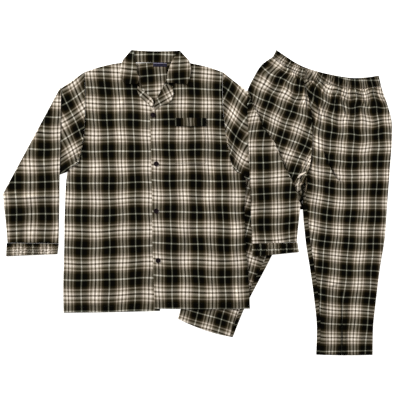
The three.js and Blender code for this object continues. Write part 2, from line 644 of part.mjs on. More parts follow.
addPiece('pocket', layer(patch(POCKET, 5, 5), (x, y) => onFront(x, y) + LAYER_GAP));
addPiece('pocket_band', layer(patch(POCKET_BAND, 8, 2), (x, y, i) => (
  onFront(x, y) + LAYER_GAP + [0.5, 0.9, 0.3][i]), COLLAR_CLOTH));

// Buttons: moulded discs with four thread holes.
function buttonGeometry() {
  const circle = (x, y, radius, sides) => Array.from({ length: sides }, (_, i) => {
    const turn = (2 * Math.PI * i) / sides;
    return new THREE.Vector2(x + radius * Math.cos(turn), y + radius * Math.sin(turn));
  });
  const disc = new THREE.Shape(circle(0, 0, BUTTON.radius - BUTTON.bevel / 2, 24));
  [[1, 1], [-1, 1], [-1, -1], [1, -1]].forEach(([sx, sy]) => {
    const [x, y] = [sx * BUTTON.holeSpread, sy * BUTTON.holeSpread];
    disc.holes.push(new THREE.Path(circle(x, y, BUTTON.holeRadius + BUTTON.bevel / 2, 6)));
  });
  const geometry = new THREE.ExtrudeGeometry(disc, {
    depth: BUTTON.thickness - 2 * BUTTON.bevel,
    bevelEnabled: true,
    bevelThickness: BUTTON.bevel,
    bevelSize: BUTTON.bevel / 2,
    bevelSegments: 1,
  });
  geometry.translate(0, 0, BUTTON.bevel);
  geometry.deleteAttribute('normal');
  geometry.deleteAttribute('uv');
  return mergeVertices(geometry, 1e-4);
}

BUTTON_PLACES.forEach((place, i) => {
  const geometry = buttonGeometry();
  geometry.translate(place.x, place.y, onFront(place.x, place.y));
  addPiece(`button_${i + 1}`, geometry, BUTTON_PLASTIC);
});

// Woven labels on the inside of the back, below the collar.
addPiece('neck_label', layer(patch(LABEL, 2, 2), () => CLOTH + SEAM_GAP, LABEL_CLOTH), LABEL_SATIN);
addPiece('size_tab', layer(patch(SIZE_TAB, 1, 1), () => CLOTH + SEAM_GAP, LABEL_CLOTH), LABEL_SATIN);

// Trouser legs. The fronts are pulled into gathers below the waistband, and the backs' inseam
// edges roll to the front below the crotch.
const LEG_LEVELS = [0, 1, 2, 3, 4, 5, 6, 6.5, 7, 7.5, 8, 9, 10, 11, 12];
const RIGHT_LEG = { table: LEG_RIGHT, sidePlace: 0 };
const LEFT_LEG = { table: LEG_LEFT, sidePlace: WAISTBAND.length - 1 };

// A point of a leg, a share of the way from the side seam; its first rows follow the waistband.
function legPoint(leg, place, share) {
  const [x, y] = across(levelOf(leg.table, place), share);
  if (place >= 1) return [x, y];
  const [topX, topY] = across(levelOf(leg.table, 0), share);
  const along = lerp(leg.sidePlace, CENTRE_SEAM_PLACE, share);
  const fade = (1 - place) ** 2;
  const seamX = read(WAISTBAND, along, 'seamX');
  const seamY = read(WAISTBAND, along, 'seamY') - 3 * SEAM_GAP;
  return [x + fade * (seamX - topX), y + fade * (seamY - topY)];
}

function legBack(leg) {
  const { table } = leg;
  const radius = (CLOTH + LAYER_GAP) / 2;
  const edge = radius + CLOTH / 2;
  const rows = LEG_LEVELS.map((place) => {
    const level = levelOf(table, place);
    const roll = Math.max(0, read(table, place, 'roll'));
    const curl = smoothstep(CROTCH_ROW, CROTCH_ROW + 0.5, place);
    const width = distance(level.outer, level.inner);
    const point = (mm) => legPoint(leg, place, 1 - mm / width);
    const pair = (mm, z, cosine, sine) => {
      const at = (offset) => [...point(mm - offset * sine), z + offset * cosine];
      return { outer: at(CLOTH / 2), inner: at(-CLOTH / 2) };
    };
    const flat = Array.from({ length: 8 }, (_, j) => (
      pair(lerp(width, 9, j / 7), CLOTH / 2, -1, 0)));
    const flatEdge = [7, 5.4, 3.8, 2.2, 0.3].map((mm) => pair(mm, CLOTH / 2, -1, 0));
    const turned = [
      pair(edge, CLOTH / 2, -1, 0),
      pair(edge - radius * Math.SQRT1_2, CLOTH / 2 + radius * (1 - Math.SQRT1_2), -0.707, 0.707),
      pair(edge - radius * Math.SQRT1_2, CLOTH / 2 + radius * (1 + Math.SQRT1_2), 0.707, 0.707),
      pair(edge, CLOTH / 2 + 2 * radius, 1, 0),
      pair(Math.max(edge + 1, roll), CLOTH / 2 + 2 * radius, 1, 0),
    ];
    const blend = (a, b) => a.map((value, axis) => lerp(value, b[axis], curl));
    return [...flat, ...flatEdge.map((from, j) => ({
      outer: blend(from.outer, turned[j].outer), inner: blend(from.inner, turned[j].inner),
    }))];
  });
  return clothWall(rows);
}

function legFront(leg) {
  const { table } = leg;
  const top = levelOf(table, 0);
  const waves = Math.round(distance(top.outer, top.inner) / GATHER_PITCH);
  const gatherRows = [
    { place: 0, columns: 2 * waves, gather: 0.55 },
    { place: 0.22, columns: 2 * waves, gather: 1 },
    { place: 0.55, columns: 2 * waves, gather: 0.8 },
    { place: 1.0, columns: 2 * waves, gather: 0.45 },
    { place: 1.6, columns: waves, gather: 0 },
  ];
  const plain = LEG_LEVELS.filter((place) => place >= 2).map((place) => (
    { place, columns: 9, gather: 0 }));
  return clothWall([...gatherRows, ...plain].map(({ place, columns, gather }) => {
    const level = levelOf(table, place);
    const roll = read(table, place, 'roll') * smoothstep(CROTCH_ROW, CROTCH_ROW + 0.5, place);
    const trim = (SEAM_GAP / 2 + (roll > 0 ? Math.max(4.5, roll) + SEAM_GAP : 0));
    const end = 1 - trim / distance(level.outer, level.inner);
    return Array.from({ length: columns + 1 }, (_, j) => {
      const [x, y] = legPoint(leg, place, (end * j) / columns);
      const calm = smoothstep(0, 60, distance([x, y], level.outer));
      const fold = gather * (GATHER_HEIGHT / 2) * (1 + (j % 2 ? 1 : -1));
      const z = CLOTH + LAYER_GAP + fold + swellAt(TROUSER_SWELLS, x, y) * calm;
      return { outer: [x, y, z + CLOTH], inner: [x, y, z] };
    });
  }));
}

addPiece('trouser_back_right', legBack(RIGHT_LEG));
addPiece('trouser_back_left', legBack(LEFT_LEG));
addPiece('trouser_front_right', legFront(RIGHT_LEG));
addPiece('trouser_front_left', legFront(LEFT_LEG));

// Waistband: a flattened ring of cloth over elastic, ribbed by the gathers.
function waistbandGeometry() {
  const places = WAISTBAND.length - 1;
  const point = (t, height) => [
    lerp(read(WAISTBAND, t * places, 'seamX'), read(WAISTBAND, t * places, 'topX'), height),
    lerp(read(WAISTBAND, t * places, 'seamY'), read(WAISTBAND, t * places, 'topY'), height)];
  const length = distance(point(0, 0), point(0.5, 0)) + distance(point(0.5, 0), point(1, 0));
  const waves = Math.round(length / GATHER_PITCH);
  const columns = 2 * waves;
  const shares = Array.from({ length: columns + 1 }, (_, j) => j / columns);
  const air = GATHER_HEIGHT + LAYER_GAP;
  return clothWall([0, 0.35, 0.7, 1].map((height) => {
    const ring = tubeRing(shares.map((share) => point(share, height)), CLOTH, air);
    return ring.filter((_, place) => place > columns || place % 4 === 0).map((pair) => {
      const place = ring.indexOf(pair);
      const onTop = place > columns + 2 && place < 2 * columns + 4;
      const rib = onTop && (place - columns) % 2 ? -GATHER_HEIGHT * 0.75 : 0;
      const [outer, inner] = pair.map(([x, y, h]) => [x, y, h + rib]);
      return { outer, inner };
    });
  }), true);
}

addPiece('waistband', waistbandGeometry());

export default set;
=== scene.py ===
"""Plaid flannel pyjama set, laid flat on a pale surface and seen from straight above.

Left and right are the wearer's. Sizes are written in millimetres and put into the meshes in metres.
"""
import math

import bpy
import numpy as np
from mathutils.bvhtree import BVHTree
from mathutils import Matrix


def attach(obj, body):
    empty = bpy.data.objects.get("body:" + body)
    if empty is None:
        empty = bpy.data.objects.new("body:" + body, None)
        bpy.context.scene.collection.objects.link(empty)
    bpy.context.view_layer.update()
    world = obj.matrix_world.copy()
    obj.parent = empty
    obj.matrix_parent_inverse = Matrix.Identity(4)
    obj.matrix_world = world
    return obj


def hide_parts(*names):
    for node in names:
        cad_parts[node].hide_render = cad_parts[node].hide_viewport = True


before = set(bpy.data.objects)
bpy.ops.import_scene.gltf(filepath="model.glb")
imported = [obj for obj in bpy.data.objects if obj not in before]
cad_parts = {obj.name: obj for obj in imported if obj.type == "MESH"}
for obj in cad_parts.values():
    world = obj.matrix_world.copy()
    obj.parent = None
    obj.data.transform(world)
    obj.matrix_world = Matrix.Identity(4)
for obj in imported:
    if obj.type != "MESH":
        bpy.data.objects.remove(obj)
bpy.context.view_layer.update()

# The studio. A pale paper floor, one large soft light high at the upper left, a weaker one at the
# right, and a camera straight above the middle of the set.
scene = bpy.context.scene
scene.view_settings.view_transform = "Standard"

camera = bpy.data.objects.new("camera", bpy.data.cameras.new("camera"))
SET_CENTRE, CAMERA_HEIGHT = (0.0091, 0.0083), 3.027
camera.data.lens = 85
camera.data.sensor_width = 36
camera.location = (*SET_CENTRE, CAMERA_HEIGHT)
scene.collection.objects.link(camera)
scene.camera = camera

for light_name, place, size, power in [
    ("window_light", (-3.7, 3.5, 2.7), 1.3, 430),
    ("fill_light", (2.4, 0.4, 2.2), 2.2, 38),
]:
    lamp = bpy.data.lights.new(light_name, "AREA")
    lamp.shape, lamp.size, lamp.energy = "DISK", size, power
    light = bpy.data.objects.new(light_name, lamp)
    light.location = place
    light.rotation_euler = light.location.to_track_quat("Z", "Y").to_euler()
    scene.collection.objects.link(light)

air = bpy.data.worlds.new("studio_air")
air.use_nodes = True
air.node_tree.nodes["Background"].inputs["Color"].default_value = (1, 0.99, 0.975, 1)
air.node_tree.nodes["Background"].inputs["Strength"].default_value = 0.32
scene.world = air


def linear(colour):
    """An sRGB hex colour as linear RGBA: c / 12.92 up to 0.04045, then ((c + 0.055) / 1.055) ^ 2.4."""
    c = np.array([int(colour[i:i + 2], 16) for i in (1, 3, 5)]) / 255
    return (*np.where(c <= 0.04045, c / 12.92, ((c + 0.055) / 1.055) ** 2.4), 1.0)


def add_node(tree, kind, settings=None, inputs=None):
    """Adds a node. Settings are its own properties, or the stops of its ramp; inputs are its
    sockets by name or number, each a value or the socket that feeds it."""
    node = tree.nodes.new(kind)
    for name, value in (settings or {}).items():
        if name == "stops":
            stops = node.color_ramp.elements
            for i, (position, colour) in enumerate(value):
                stop = stops[i] if i < 2 else stops.new(position)
                stop.position, stop.color = position, linear(colour)
        else:
            setattr(node, name, value)
    for name, value in (inputs or {}).items():
        if isinstance(value, bpy.types.NodeSocket):
            tree.links.new(value, node.inputs[name])
        else:
            node.inputs[name].default_value = value
    return node


def new_material(name):
    """An empty node material, with its output node."""
    material = bpy.data.materials.new(name)
    material.use_nodes = True
    material.node_tree.nodes.clear()
    return material, material.node_tree, add_node(material.node_tree, "ShaderNodeOutputMaterial")


# Matt paper: an uncoated white sheet, a little uneven, on a table lit from below, which washes out
# the shadows.
paper, tree, out = new_material("uncoated_paper")
place = add_node(tree, "ShaderNodeTexCoord").outputs["Object"]
tone = add_node(tree, "ShaderNodeTexNoise", inputs={"Vector": place, "Scale": 3.0, "Detail": 4.0})
shade = add_node(tree, "ShaderNodeValToRGB", {"stops": [(0.3, "#fbfaf8"), (0.7, "#fdfdfb")]},
                 {"Fac": tone.outputs["Fac"]})
skin = add_node(tree, "ShaderNodeBsdfPrincipled", inputs={
    "Base Color": shade.outputs["Color"], "Roughness": 0.9,
    "Emission Color": linear("#fffefb"), "Emission Strength": 0.8})
tree.links.new(skin.outputs["BSDF"], out.inputs["Surface"])

floor_mesh = bpy.data.meshes.new("paper_floor")
FLOOR_HALF, FLOOR_Z = 4, -1e-4
floor_mesh.from_pydata([(x * FLOOR_HALF, y * FLOOR_HALF, FLOOR_Z)
                        for x, y in [(-1, -1), (1, -1), (1, 1), (-1, 1)]], [], [(0, 1, 2, 3)])
floor_mesh.materials.append(paper)
floor = bpy.data.objects.new("paper_floor", floor_mesh)
scene.collection.objects.link(floor)


# Trouser backs. One panel of yarn-dyed brushed flannel for each leg, lying flat on the floor under
# the front, with the edge at the inseam rolled a little to the front below the crotch.
CLOTH = 1.5
LAYER_GAP = 0.35
SEAM_GAP = 0.3
PANEL_TOP = 2 * CLOTH + LAYER_GAP

# A row for each level from the waistband seam to the hem: side seam X and Y, inseam X and Y, how
# far the row bows up, and the width of the strip of back turned to the front.
LEG_RIGHT = np.array([
    (241, 466, 338, 399, -2.6, 0), (205, 439, 348, 365, 0, 0), (179, 397, 360, 316, 0, 0),
    (160, 356, 368, 258, 0, 0), (137, 282, 368, 181, 0, 0), (107, 183, 360, 117, 0, 0),
    (88, 119, 343, 60, 0, 0), (65, 44, 327, 5, 0, 13), (25, -89, 279, -91, 0, 15),
    (-5, -190, 224, -200, 0, 15), (-31, -273, 181, -281, 0, 14), (-51, -337, 149, -344, 0, 13),
    (-62, -372, 114, -431, -7.7, 10)])
LEG_LEFT = np.array([
    (589, 374, 338, 399, -20.8, 0), (597, 348, 348, 365, -16, 0), (609, 314, 360, 316, -9.6, 0),
    (623.2, 258, 368, 258, 0, 0), (623.2, 188, 368, 181, 0, 0), (618, 120, 360, 117, 0, 0),
    (614, 63, 343, 60, 0, 0), (609, -1, 337, 5, 0, 13), (601, -113, 347, -120, 0, 15),
    (586, -206, 361, -209, 0, 15), (574, -302, 374, -302, 0, 14), (564, -395, 383, -395, 0, 12),
    (562, -488, 381, -487, -1.6, 11)])
# A row for each place along the waistband, from the right side seam: top X and Y, seam X and Y.
WAISTBAND = np.array([
    (254, 489, 243, 467.5), (312, 450, 291.5, 431), (357, 429, 338, 399.6), (419, 412, 401, 383.5),
    (489, 400, 480, 367.5), (540, 401, 543, 367.5), (581, 407, 588, 374.8)])
CENTRE_SEAM_PLACE = 2
CROTCH_ROW = 6


def smoothstep(low, high, value):
    """0 below low, 1 above high, and 3t^2 - 2t^3 between."""
    t = np.clip((value - low) / (high - low), 0, 1)
    return t * t * (3 - 2 * t)


def bell(distance, width):
    """1 at no distance, falling off as e ^ -(distance / width)^2."""
    return np.exp(-((distance / width) ** 2))


def length_of(vectors):
    """Each vector's length, never quite nothing, so that it can be divided by."""
    return np.maximum(np.linalg.norm(vectors, axis=-1, keepdims=True), 1e-9)


def run_along(x, y):
    """Distance run along a path at each of its points."""
    return np.concatenate([[0], np.cumsum(np.hypot(np.diff(x), np.diff(y)))])


def read_table(table, place):
    """The table's columns at places between its rows, on a uniform Catmull-Rom curve."""
    last = len(table) - 1
    row = np.clip(np.floor(place).astype(int), 0, last - 1)
    a, b, c, d = (table[np.clip(row + step, 0, last)] for step in (-1, 0, 1, 2))
    t = (place - row)[..., None]
    return 0.5 * (2 * b + (c - a) * t + (2 * a - 5 * b + 4 * c - d) * t**2 + (3 * b - a - 3 * c + d) * t**3)


def panel_point(table, place, share):
    """Plan X and Y a share of the way from a row's outer end to its inner one, with the row's bow
    added as 1 - (2 share - 1)^2."""
    row = read_table(table, place)
    x = row[..., 0] + (row[..., 2] - row[..., 0]) * share
    y = row[..., 1] + (row[..., 3] - row[..., 1]) * share + row[..., 4] * (1 - (2 * share - 1) ** 2)
    return x, y


def panel_width(table, place):
    """Length of a row from its outer end to its inner one."""
    row = read_table(table, place)
    return np.hypot(row[..., 2] - row[..., 0], row[..., 3] - row[..., 1])


def even_places(table, step):
    """Places along a panel's middle, about a step apart, as a column."""
    fine = np.linspace(0, len(table) - 1, 40 * len(table))
    x, y = panel_point(table, fine, np.full_like(fine, 0.5))
    run = run_along(x, y)
    count = max(2, round(run[-1] / step))
    return np.interp(np.linspace(0, run[-1], count + 1), run, fine)[:, None]


def leg_point(leg, side_place, place, share):
    """A leg's plan, whose first rows fade by (1 - place)^2 into the line of the waistband's seam."""
    place, share = np.broadcast_arrays(place, share)
    x, y = panel_point(leg, place, share)
    top_x, top_y = panel_point(leg, np.zeros_like(place), share)
    seam = read_table(WAISTBAND, side_place + (CENTRE_SEAM_PLACE - side_place) * share)
    fade = np.clip(1 - place, 0, 1) ** 2
    return x + fade * (seam[..., 2] - top_x), y + fade * (seam[..., 3] - SEAM_GAP - top_y)


def stripes(course, x, y):
    """Repeats of the check counted across the warp and the weft stripes: the sum of the course's
    numbers times s^a t^b, for rising a + b, where s and t are decimetres from its middle. Before
    that the cloth wanders by 0.8 mm, as cloth laid by hand does."""
    x, y = x + 0.8 * np.sin(y / 19 + x / 43), y + 0.8 * np.sin(x / 23 - y / 51 + 1)
    s, t = (x - course["middle"][0]) / 100, (y - course["middle"][1]) / 100
    powers = [s ** (total - b) * t**b for total in range(5) for b in range(total + 1)]
    return np.stack([sum(number * power for number, power in zip(course[way], powers))
                     for way in ("warp", "weft")], -1)


def cloth_shell(x, y, z, thickness, check, ring=False):
    """A closed shell of cloth over a grid. Its skins are the middle surface moved half a thickness
    along the normal, which is the cross product of the grid's two tangents, and its rims are
    closed through a row on the middle surface, so that they are rounded. A ring closes on itself
    in the second direction. Returns points, faces, and at each point the check's count and how far
    it stands over the cloth round it, whose height is averaged over its neighbours."""
    middle = np.stack(np.broadcast_arrays(x, y, z), -1).astype(float)
    rows, columns = middle.shape[:2]
    down = np.gradient(middle, axis=0)
    if ring:
        beside = (np.roll(middle, -1, 1) - np.roll(middle, 1, 1)) / 2
    else:
        beside = np.gradient(middle, axis=1)
    normal = np.cross(down, beside)
    normal /= length_of(normal)
    inner = middle.copy()
    tuck = 0.35 * thickness
    for last, inward in [(0, tuck), (-1, -tuck)]:
        inner[last] += inward * down[last] / length_of(down[last])
        if not ring:
            inner[:, last] += inward * beside[:, last] / length_of(beside[:, last])
    grid = np.arange(rows * columns).reshape(rows, columns)
    here = np.arange(columns if ring else columns - 1)
    there = (here + 1) % columns
    quads = np.stack([grid[:-1][:, here], grid[1:][:, here], grid[1:][:, there], grid[:-1][:, there]], -1)
    quads = quads.reshape(-1, 4)
    if ring:
        loops = [grid[0], grid[-1][::-1]]
    else:
        loops = [np.concatenate([grid[0, :-1], grid[:-1, -1], grid[-1, :0:-1], grid[:0:-1, 0]])]
    top = (inner + normal * thickness / 2).reshape(-1, 3)
    low = (inner - normal * thickness / 2).reshape(-1, 3)
    count = rows * columns
    points, faces = [top, low], [quads, quads[:, ::-1] + count]
    source = [np.arange(count), np.arange(count)]
    start = 2 * count
    for loop in loops:
        points.append(middle.reshape(-1, 3)[loop])
        source.append(loop)
        rim = start + np.arange(len(loop))
        after, rim_after = np.roll(loop, -1), np.roll(rim, -1)
        faces.append(np.stack([loop, after, rim_after, rim], -1))
        faces.append(np.stack([after + count, loop + count, rim, rim_after], -1))
        start += len(loop)
    round_it = middle[..., 2]
    for turn in range(24):
        wide = np.pad(round_it, ((0, 0), (1, 1)), "wrap" if ring else "edge")
        round_it = (wide[:, :-2] + 2 * round_it + wide[:, 2:]) / 4
        if turn % 8 == 0:
            tall = np.pad(round_it, ((1, 1), (0, 0)), "edge")
            round_it = (tall[:-2] + 2 * round_it + tall[2:]) / 4
    check = np.broadcast_to(check, (rows, columns, 2))
    check = np.concatenate([check, (middle[..., 2] - round_it)[..., None]], -1).reshape(-1, 3)
    return np.concatenate(points), np.concatenate(faces), check[np.concatenate(source)]


def add_piece(name, shells, material, nodes):
    """Makes one object of one or more shells, given in millimetres, with the check's count as its
    UV map and its relief as an attribute, and places it on the body."""
    points, faces, checks, start = [], [], [], 0
    for shell_points, shell_faces, shell_check in shells:
        points.append(shell_points * 0.001)
        faces.append(shell_faces + start)
        checks.append(shell_check)
        start += len(shell_points)
    faces = np.concatenate(faces)
    mesh = bpy.data.meshes.new(name)
    mesh.from_pydata(np.concatenate(points).tolist(), [], faces.tolist())
    checks = np.concatenate(checks)
    mesh.uv_layers.new(name="check").data.foreach_set("uv", checks[faces.ravel(), :2].ravel())
    mesh.attributes.new("relief", "FLOAT", "POINT").data.foreach_set("value", checks[:, 2])
    mesh.shade_smooth()
    mesh.materials.append(material)
    piece = bpy.data.objects.new(name, mesh)
    scene.collection.objects.link(piece)
    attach(piece, "root")
    if nodes:
        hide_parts(*nodes)
    return piece


# Brushed cotton flannel: cream, brown, grey and black yarns woven into a check and raised on both
# sides, so it is matt, with a short pale nap that catches light at the edges of folds.
flannel, tree, out = new_material("brushed_flannel")
count = add_node(tree, "ShaderNodeUVMap", {"uv_map": "check"})
split = add_node(tree, "ShaderNodeSeparateXYZ", inputs={0: count.outputs["UV"]})
# One half of the repeat, from the middle of the four cream stripes to the thin grey line. Two yarns
# show at each point, so a yarn's colour is the square root of the cloth's.
YARNS = [
    (0, "#90887a"), (0.036, "#90887a"), (0.072, "#f9f4ee"), (0.156, "#f9f4ee"),
    (0.184, "#dad5cd"), (0.24, "#cbc6bc"), (0.264, "#9e9687"), (0.32, "#9e9687"),
    (0.352, "#dfd9d1"), (0.416, "#dfd9d1"), (0.448, "#a29a8f"), (0.49, "#898173"),
    (0.56, "#7d7560"), (0.63, "#47410e"), (0.7, "#423d00"), (0.94, "#423d00"),
    (0.968, "#d0d1cb"), (1, "#d3d4ce")]
yarn_colours = []
for way in ("X", "Y"):
    half = add_node(tree, "ShaderNodeMath", {"operation": "PINGPONG"}, {0: split.outputs[way], 1: 0.5})
    full = add_node(tree, "ShaderNodeMath", {"operation": "MULTIPLY"}, {0: half.outputs[0], 1: 2.0})
    yarn_colours.append(add_node(tree, "ShaderNodeValToRGB", {"stops": YARNS}, {"Fac": full.outputs[0]}))
# The twill's diagonal is 0.7 mm apart in the real cloth, too fine to show, so it is drawn at 2.4 mm.
millimetres = add_node(tree, "ShaderNodeMapping", inputs={
    "Vector": count.outputs["UV"], "Scale": (82, 100, 1)})
twill = add_node(tree, "ShaderNodeTexWave", {"bands_direction": "DIAGONAL"}, {
    "Vector": millimetres.outputs[0], "Scale": 0.13, "Distortion": 0.6, "Detail": 2.0})
share = add_node(tree, "ShaderNodeMapRange", inputs={
    "Value": twill.outputs["Fac"], "To Min": 0.44, "To Max": 0.56})
warp_yarn, weft_yarn = (yarn.outputs["Color"] for yarn in yarn_colours)
woven = add_node(tree, "ShaderNodeMix", {"data_type": "RGBA"}, {
    "Factor": share.outputs[0], 6: warp_yarn, 7: weft_yarn})
squared = add_node(tree, "ShaderNodeGamma", inputs={"Color": woven.outputs[2], "Gamma": 2.45})
# The nap is uneven at about 4 mm, and the cloth is washed out in patches of a hand's width.
place = add_node(tree, "ShaderNodeTexCoord").outputs["Object"]
nap = add_node(tree, "ShaderNodeTexNoise", inputs={
    "Vector": place, "Scale": 260.0, "Detail": 3.0, "Roughness": 0.6})
patches = add_node(tree, "ShaderNodeTexNoise", inputs={
    "Vector": place, "Scale": 11.0, "Detail": 2.0})
nap_tone = add_node(tree, "ShaderNodeMapRange", inputs={
    "Value": nap.outputs["Fac"], "From Min": 0.25, "From Max": 0.75, "To Min": 0.88, "To Max": 1.12})
patch_tone = add_node(tree, "ShaderNodeMapRange", inputs={
    "Value": patches.outputs["Fac"], "From Min": 0.3, "From Max": 0.7, "To Min": 0.94, "To Max": 1.06})
# Painted light and shade: the crests of folds are painted paler and the hollows darker, by how far each
# point stands over the cloth round it.
relief_mm = add_node(tree, "ShaderNodeAttribute", {"attribute_name": "relief"})
painted_fold_light_and_shade = add_node(tree, "ShaderNodeMapRange", {"interpolation_type": "SMOOTHSTEP"}, {
    "Value": relief_mm.outputs["Fac"], "From Min": -2.6, "From Max": 1.6, "To Min": 0.3, "To Max": 1.36})
mottled = add_node(tree, "ShaderNodeMath", {"operation": "MULTIPLY"}, {
    0: nap_tone.outputs[0], 1: patch_tone.outputs[0]})
tone = add_node(tree, "ShaderNodeMath", {"operation": "MULTIPLY"}, {
    0: mottled.outputs[0], 1: painted_fold_light_and_shade.outputs[0]})
toned = add_node(tree, "ShaderNodeVectorMath", {"operation": "SCALE"}, {
    0: squared.outputs[0], "Scale": tone.outputs[0]})
relief = add_node(tree, "ShaderNodeMath", {"operation": "ADD"}, {
    0: nap.outputs["Fac"], 1: twill.outputs["Fac"]})
raised = add_node(tree, "ShaderNodeBump", inputs={
    "Strength": 0.35, "Distance": 0.0004, "Height": relief.outputs[0]})
skin = add_node(tree, "ShaderNodeBsdfPrincipled", inputs={
    "Base Color": toned.outputs[0], "Roughness": 0.95, "IOR": 1.46, "Specular IOR Level": 0.05,
    "Sheen Weight": 0.03, "Sheen Roughness": 0.45, "Sheen Tint": linear("#d8cfc0"),
    "Normal": raised.outputs[0]})
tree.links.new(skin.outputs["BSDF"], out.inputs["Surface"])

# The fold of the left sleeve, which lies over the right leg, from the shoulder to the elbow.
FOREARM_FOLD_LEFT = np.array([
    (163, 357), (182, 312), (214, 237), (246, 197), (284, 111), (318, 44), (332, -11)])
# The numbers of each course, here and in the later sections, were fitted by a program to where the
# stripes run in the photo.
COURSE_HIP_RIGHT = {
    "middle": (260, 260),
    "warp": (0.157, 1.25, -0.415, -0.161, -0.049, -0.041, 0.0551, 0.1372,
             0.0422, -0.0247, 0.0819, 0.0795, 0.166, -0.0222, -0.0077),
    "weft": (0.01, -0.447, -1.081, 0.112, 0.024, -0.016, -0.0552, -0.0206,
             0.0312, 0.032, -0.0176, 0.0776, 0.0156, -0.0634, -0.0107)}
COURSE_SHIN_RIGHT = {
    "middle": (0, -350),
    "warp": (-0.529, 1.204, -0.342),
    "weft": (7.482, -0.327, -1.12)}
COURSE_THIGH_LEFT = {
    "middle": (490, 220),
    "warp": (0.329, 1.349, -0.082, -0.096, 0.098, -0.022, -0.0362, 0.0339,
             0.0954, 0.0083, 0.0656, -0.0251, 0.0158, 0.0267, 0.0058),
    "weft": (-3.525, -0.053, -1.145, 0.106, -0.032, 0.003, -0.0375, 0.0416,
             -0.017, 0.0017, 0.0032, -0.0099, 0.0089, -0.003, -0.0004)}
COURSE_SHIN_LEFT = {
    "middle": (480, -240),
    "warp": (0.544, 1.286, -0.092, -0.039, 0.002, -0.006, -0.0214, 0.0035,
             0.0107, 0.001, 0.0222, -0.0004, -0.0025, -0.0013, 0.0003),
    "weft": (1.774, -0.054, -1.155, 0.065, 0, -0.006, -0.0419, 0.0148,
             0.0106, -0.001, -0.0224, 0.0101, -0.0003, -0.0039, 0.0007)}


def leg_check(side, x, y):
    """On the left it passes from the thigh's course to the shin's; on the right the hip's course holds
    where it shows, right of the sleeve, and the shin's runs on elsewhere."""
    if side == "left":
        share = smoothstep(-20, 70, y)[..., None]
        return stripes(COURSE_SHIN_LEFT, x, y) * (1 - share) + stripes(COURSE_THIGH_LEFT, x, y) * share
    fold_x = np.interp(y, FOREARM_FOLD_LEFT[::-1, 1], FOREARM_FOLD_LEFT[::-1, 0])
    share = (smoothstep(-45, -8, x - fold_x) * smoothstep(-45, -5, y))[..., None]
    return stripes(COURSE_SHIN_RIGHT, x, y) * (1 - share) + stripes(COURSE_HIP_RIGHT, x, y) * share


def leg_back(side, leg, side_place):
    """A back: rows along the leg, and across it a flat run, then 13 points that turn from flat to a
    half circle and a strip lying on top as the place passes the crotch."""
    flat_count, turn_count, strip_count = 24, 8, 5
    place = even_places(leg, 9)
    width = panel_width(leg, place)
    radius = (CLOTH + LAYER_GAP) / 2
    edge = radius + CLOTH / 2
    turn = np.linspace(0, math.pi, turn_count)
    roll = np.maximum(read_table(leg, place[:, 0])[:, 5:6], edge + 1)
    strip = np.linspace(0, 1, strip_count + 1)[1:]
    ones = np.ones_like(place)
    flat_run = width + (9 - width) * np.linspace(0, 1, flat_count)
    flat_mm = np.concatenate([flat_run, np.linspace(7.4, 0.3, turn_count + strip_count) * ones], 1)
    turned_mm = np.concatenate([flat_run, (edge - radius * np.sin(turn)) * ones,
                                edge + (roll - edge) * strip], 1)
    turned_z = np.concatenate([np.zeros(flat_count), radius * (1 - np.cos(turn)),
                               np.full(strip_count, 2 * radius)])
    curl = smoothstep(CROTCH_ROW, CROTCH_ROW + 0.5, place)
    mm = flat_mm + (turned_mm - flat_mm) * curl
    x, y = leg_point(leg, side_place, place, 1 - mm / width)
    unrolled = np.concatenate([flat_run, (edge - radius * turn) * ones,
                               edge - math.pi * radius - (roll - edge) * strip], 1)
    flat_x, flat_y = leg_point(leg, side_place, place, 1 - unrolled / width)
    check = leg_check(side, flat_x, flat_y)
    # What is turned to the front is coloured as the dark ground between two thin lines, painted shade along
    # the inseam.
    dark = curl * (np.arange(check.shape[1]) >= flat_count)
    check[..., 0] += dark * (0.46 + 0.011 * np.minimum(unrolled, 0) - check[..., 0])
    return cloth_shell(x, y, CLOTH / 2 + curl * turned_z, CLOTH, check)


def slit_shade_shell():
    """A flat strip of the check's dark ground, painted shade that fills the slit between the legs from the
    crotch down to where the slit opens, and reaches under them at the crotch by a bell."""
    y = np.linspace(70, -22, 40)[:, None]
    share = np.linspace(0, 1, 7)[None]
    under = 3 * bell(y - 54, 14)
    right = np.maximum(np.interp(-y, -LEG_RIGHT[:, 3], LEG_RIGHT[:, 2]) + 0.4 - under, 320)
    left = np.interp(-y, -LEG_LEFT[:, 3], LEG_LEFT[:, 2]) - 0.4 + under
    x = right + (left - right) * share
    return cloth_shell(x, y + 0 * x, 0.8 + 0.05 * np.sin(y / 3) + 0 * x, CLOTH, np.array([0.4, 0.41]))


for side, leg, side_place in [("right", LEG_RIGHT, 0), ("left", LEG_LEFT, 6)]:
    # The right back also carries the strip of painted shade in the slit between the legs.
    shells = [leg_back(side, leg, side_place)] + ([slit_shade_shell()] if side == "right" else [])
    piece = add_piece(f"trouser_back_{side}_flannel", shells, flannel,
                      [f"trouser_back_{side}"])


